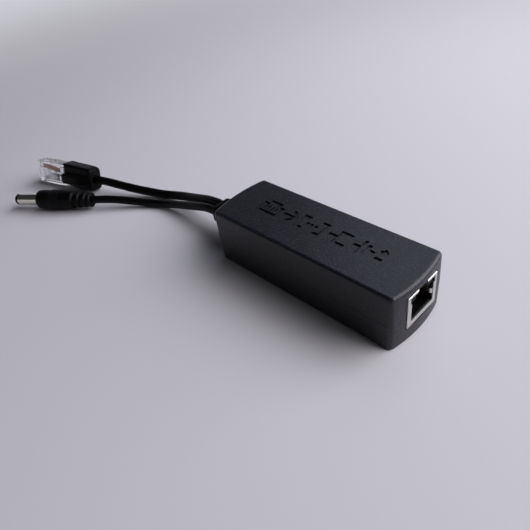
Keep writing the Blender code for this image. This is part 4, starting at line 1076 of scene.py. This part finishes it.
def makeGrip():
    root = powerPlug["barrel"]
    full = grip["radius"]
    end = powerPlug["length"]
    hole = barrel["radius"] + 0.1 * mm
    nose = [(root + barrel["socket"], hole), (root + 0.15 * mm, hole), (root, hole + 0.15 * mm),
            (root, full * 0.85), (root + 0.4 * mm, full * 0.95), (root + 1.4 * mm, full),
            (root + 2.6 * mm, full)]
    profile = [(root + barrel["socket"], 0)] + roundedProfile(nose, 0.5 * mm, 4)
    line = [(root + 2.8 * mm, full)]
    third = grip["ribPitch"] / 3
    low = full - grip["ribDip"]
    high = full + grip["ribRise"]
    for i in range(grip["ribs"]):
        along = root + grip["ribStart"] + i * grip["ribPitch"]
        line += [(along - third, low), (along - third / 2, high), (along + third / 2, high),
                 (along + third, low)]
    line += [(root + grip["taperStart"], full), (root + grip["reliefStart"], grip["waist"])]
    pitch = grip["ringPitch"]
    for i in range(grip["rings"]):
        along = root + grip["reliefStart"] + i * pitch
        ring = grip["tail"] + (grip["rings"] - 1 - i) * grip["ringStep"]
        floor = ring - grip["ringGroove"]
        line += [(along + 0.15 * pitch, floor), (along + 0.42 * pitch, floor),
                 (along + 0.58 * pitch, ring)]
        if i < grip["rings"] - 1:
            line.append((along + pitch, ring))
    hole = tail["powerRadius"] + 0.05 * mm
    line += [(end - 0.6 * mm, grip["tail"]), (end, grip["tail"] - 0.6 * mm),
             (end, tail["powerRadius"] + 0.4 * mm)]
    profile += roundedProfile(line, 0.35 * mm, 3)
    profile += [(end, hole), (end - 1.5 * mm, hole), (end - 1.5 * mm, 0)]
    return finishPiece(turned(profile, 80), "powerGrip", "boot_black", "power_plug_grip",
                       angle=38, matrix=powerMatrix)


powerPieces = makePowerPlug()
powerGrip = makeGrip()
print("stage: power plug")


# The parts inside the housing keep their solids and get their finishes

epoxy = grained("epoxy", (0.018, 0.018, 0.019), 0.55, 3200, 0.25)
insideMaterials = {
    "circuit_board": grained("solderMask", (0.02, 0.13, 0.05), 0.35, 1200, 0.1,
                             Coat_Weight=0.3),
    "transformer_core": grained("ferrite", (0.045, 0.045, 0.05), 0.7, 2500, 0.3),
    "inductor_core": grained("drumFerrite", (0.05, 0.05, 0.052), 0.65, 2500, 0.3),
    "inductor_winding": grained("copperWire", (0.7, 0.3, 0.13), 0.3, 900, 0.3, **metal),
    "transformer_winding": grained("windingTape", (0.8, 0.6, 0.08), 0.35, 600, 0.1),
    "transformer_bobbin": grained("bobbin", (0.02, 0.02, 0.021), 0.5, 2500, 0.2),
    "input_capacitor": grained("sleeveBlue", (0.02, 0.04, 0.1), 0.3, 700, 0.05),
    "output_capacitor": grained("sleeveBlueToo", (0.02, 0.04, 0.1), 0.3, 700, 0.05),
    "ceramic_capacitor": grained("dippedBlue", (0.05, 0.17, 0.48), 0.35, 800, 0.2),
    **{f"data_lead_{i + 1}": finishes["wire_" + colour]
       for i, colour in enumerate(("pale_orange", "orange", "pale_green", "green"))},
    "power_lead_1": grained("wireRed", (0.5, 0.02, 0.02), 0.38, 1500, 0.08),
    "power_lead_2": finishes["cable_black"],
    **dict.fromkeys(("lan_transformer", "input_bridge_1", "input_bridge_2",
                     "power_controller", "optocoupler", "rectifier_diode"), epoxy),
}
for name, material in insideMaterials.items():
    nodes[name].data.materials.clear()
    nodes[name].data.materials.append(material)
print("stage: inside")


# Floor and light

stage = {
    "pale": (0.6, 0.6, 0.65, 1),
    "floor": (0.66, 0.64, 0.67),
    "size": 6.0,
    "fade": (0.22, 0.8),    # from here to there, in metres, the floor turns pale
    "room": (0.8, 0.82, 0.9, 1),
    "dim": 0.04,            # how strongly the room lights the object
    "horizon": (0.38, 0.18),
}


def mixPale(tree, output, plain, pale, value, start, end):
    # from plain to pale as the value goes from start to end, but only for rays from the
    # camera and from gloss and glass
    ramp = addNode(tree, "ShaderNodeMapRange", {"interpolation_type": "SMOOTHSTEP"},
                   Value=value, From_Min=start, From_Max=end)
    path = tree.nodes.new("ShaderNodeLightPath").outputs
    seen = reckon(tree, "MAXIMUM", path["Is Camera Ray"], path["Is Glossy Ray"])
    seen = reckon(tree, "MAXIMUM", seen, path["Is Transmission Ray"])
    mix = addNode(tree, "ShaderNodeMixShader",
                  Fac=reckon(tree, "MULTIPLY", ramp.outputs["Result"], seen))
    fill(tree, mix, {1: plain.outputs[0], 2: pale.outputs[0]})
    fill(tree, tree.nodes[output], {"Surface": mix.outputs[0]})


def makeFloor():
    bm = bmesh.new()
    bmesh.ops.create_grid(bm, x_segments=2, y_segments=2, size=stage["size"])
    floor = meshFrom(bm, "floor")
    floor.location = (0, 0, -0.0001)
    material = newMaterial("paleFloor", stage["floor"], 0.75, Specular_IOR_Level=0.25)
    tree = material.node_tree
    place = tree.nodes.new("ShaderNodeTexCoord").outputs["Object"]
    far = addNode(tree, "ShaderNodeVectorMath", {"operation": "LENGTH"})
    fill(tree, far, {0: place})
    mixPale(tree, "Material Output", tree.nodes["Principled BSDF"],
            addNode(tree, "ShaderNodeEmission", Color=stage["pale"]), far.outputs["Value"],
            *stage["fade"])
    floor.data.materials.append(material)


def addLight(kind, name, place, target, power, colour, **settings):
    light = bpy.data.lights.new(name, kind)
    light.energy = power
    light.color = colour
    for key, value in settings.items():
        setattr(light, key, value)
    obj = addObject(light, name)
    obj.visible_transmission = False
    obj.location = place
    towards = Vector(target) - Vector(place)
    obj.rotation_euler = towards.to_track_quat("-Z", "Y").to_euler()


def makeWorld():
    # a dim room with a pale backdrop along the horizon
    world = bpy.data.worlds.new("world")
    bpy.context.scene.world = world
    world.use_nodes = True
    tree = world.node_tree
    dim = fill(tree, tree.nodes["Background"], {"Color": stage["room"], "Strength": stage["dim"]})
    place = tree.nodes.new("ShaderNodeTexCoord").outputs["Generated"]
    level = addNode(tree, "ShaderNodeSeparateXYZ", Vector=place)
    mixPale(tree, "World Output", dim, addNode(tree, "ShaderNodeBackground", Color=stage["pale"]),
            level.outputs["Z"], *stage["horizon"])


makeFloor()
makeWorld()
addLight("AREA", "window", (0.6, 0.6, 0.53), (0, 0, 0), 15.5, (0.95, 0.95, 1.0), size=1.1)
addLight("AREA", "sheen", (-0.07, 0.25, 0.31), (0.02, 0, 0.02), 0.3, (0.8, 0.87, 1.0), size=0.25)
addLight("SUN", "daylight", (0.8, 0.42, 0.7), (0, 0, 0), 0.6, (1.0, 0.98, 1.0),
         angle=math.radians(50))
bpy.context.scene.view_settings.view_transform = "Standard"
print("stage: light")
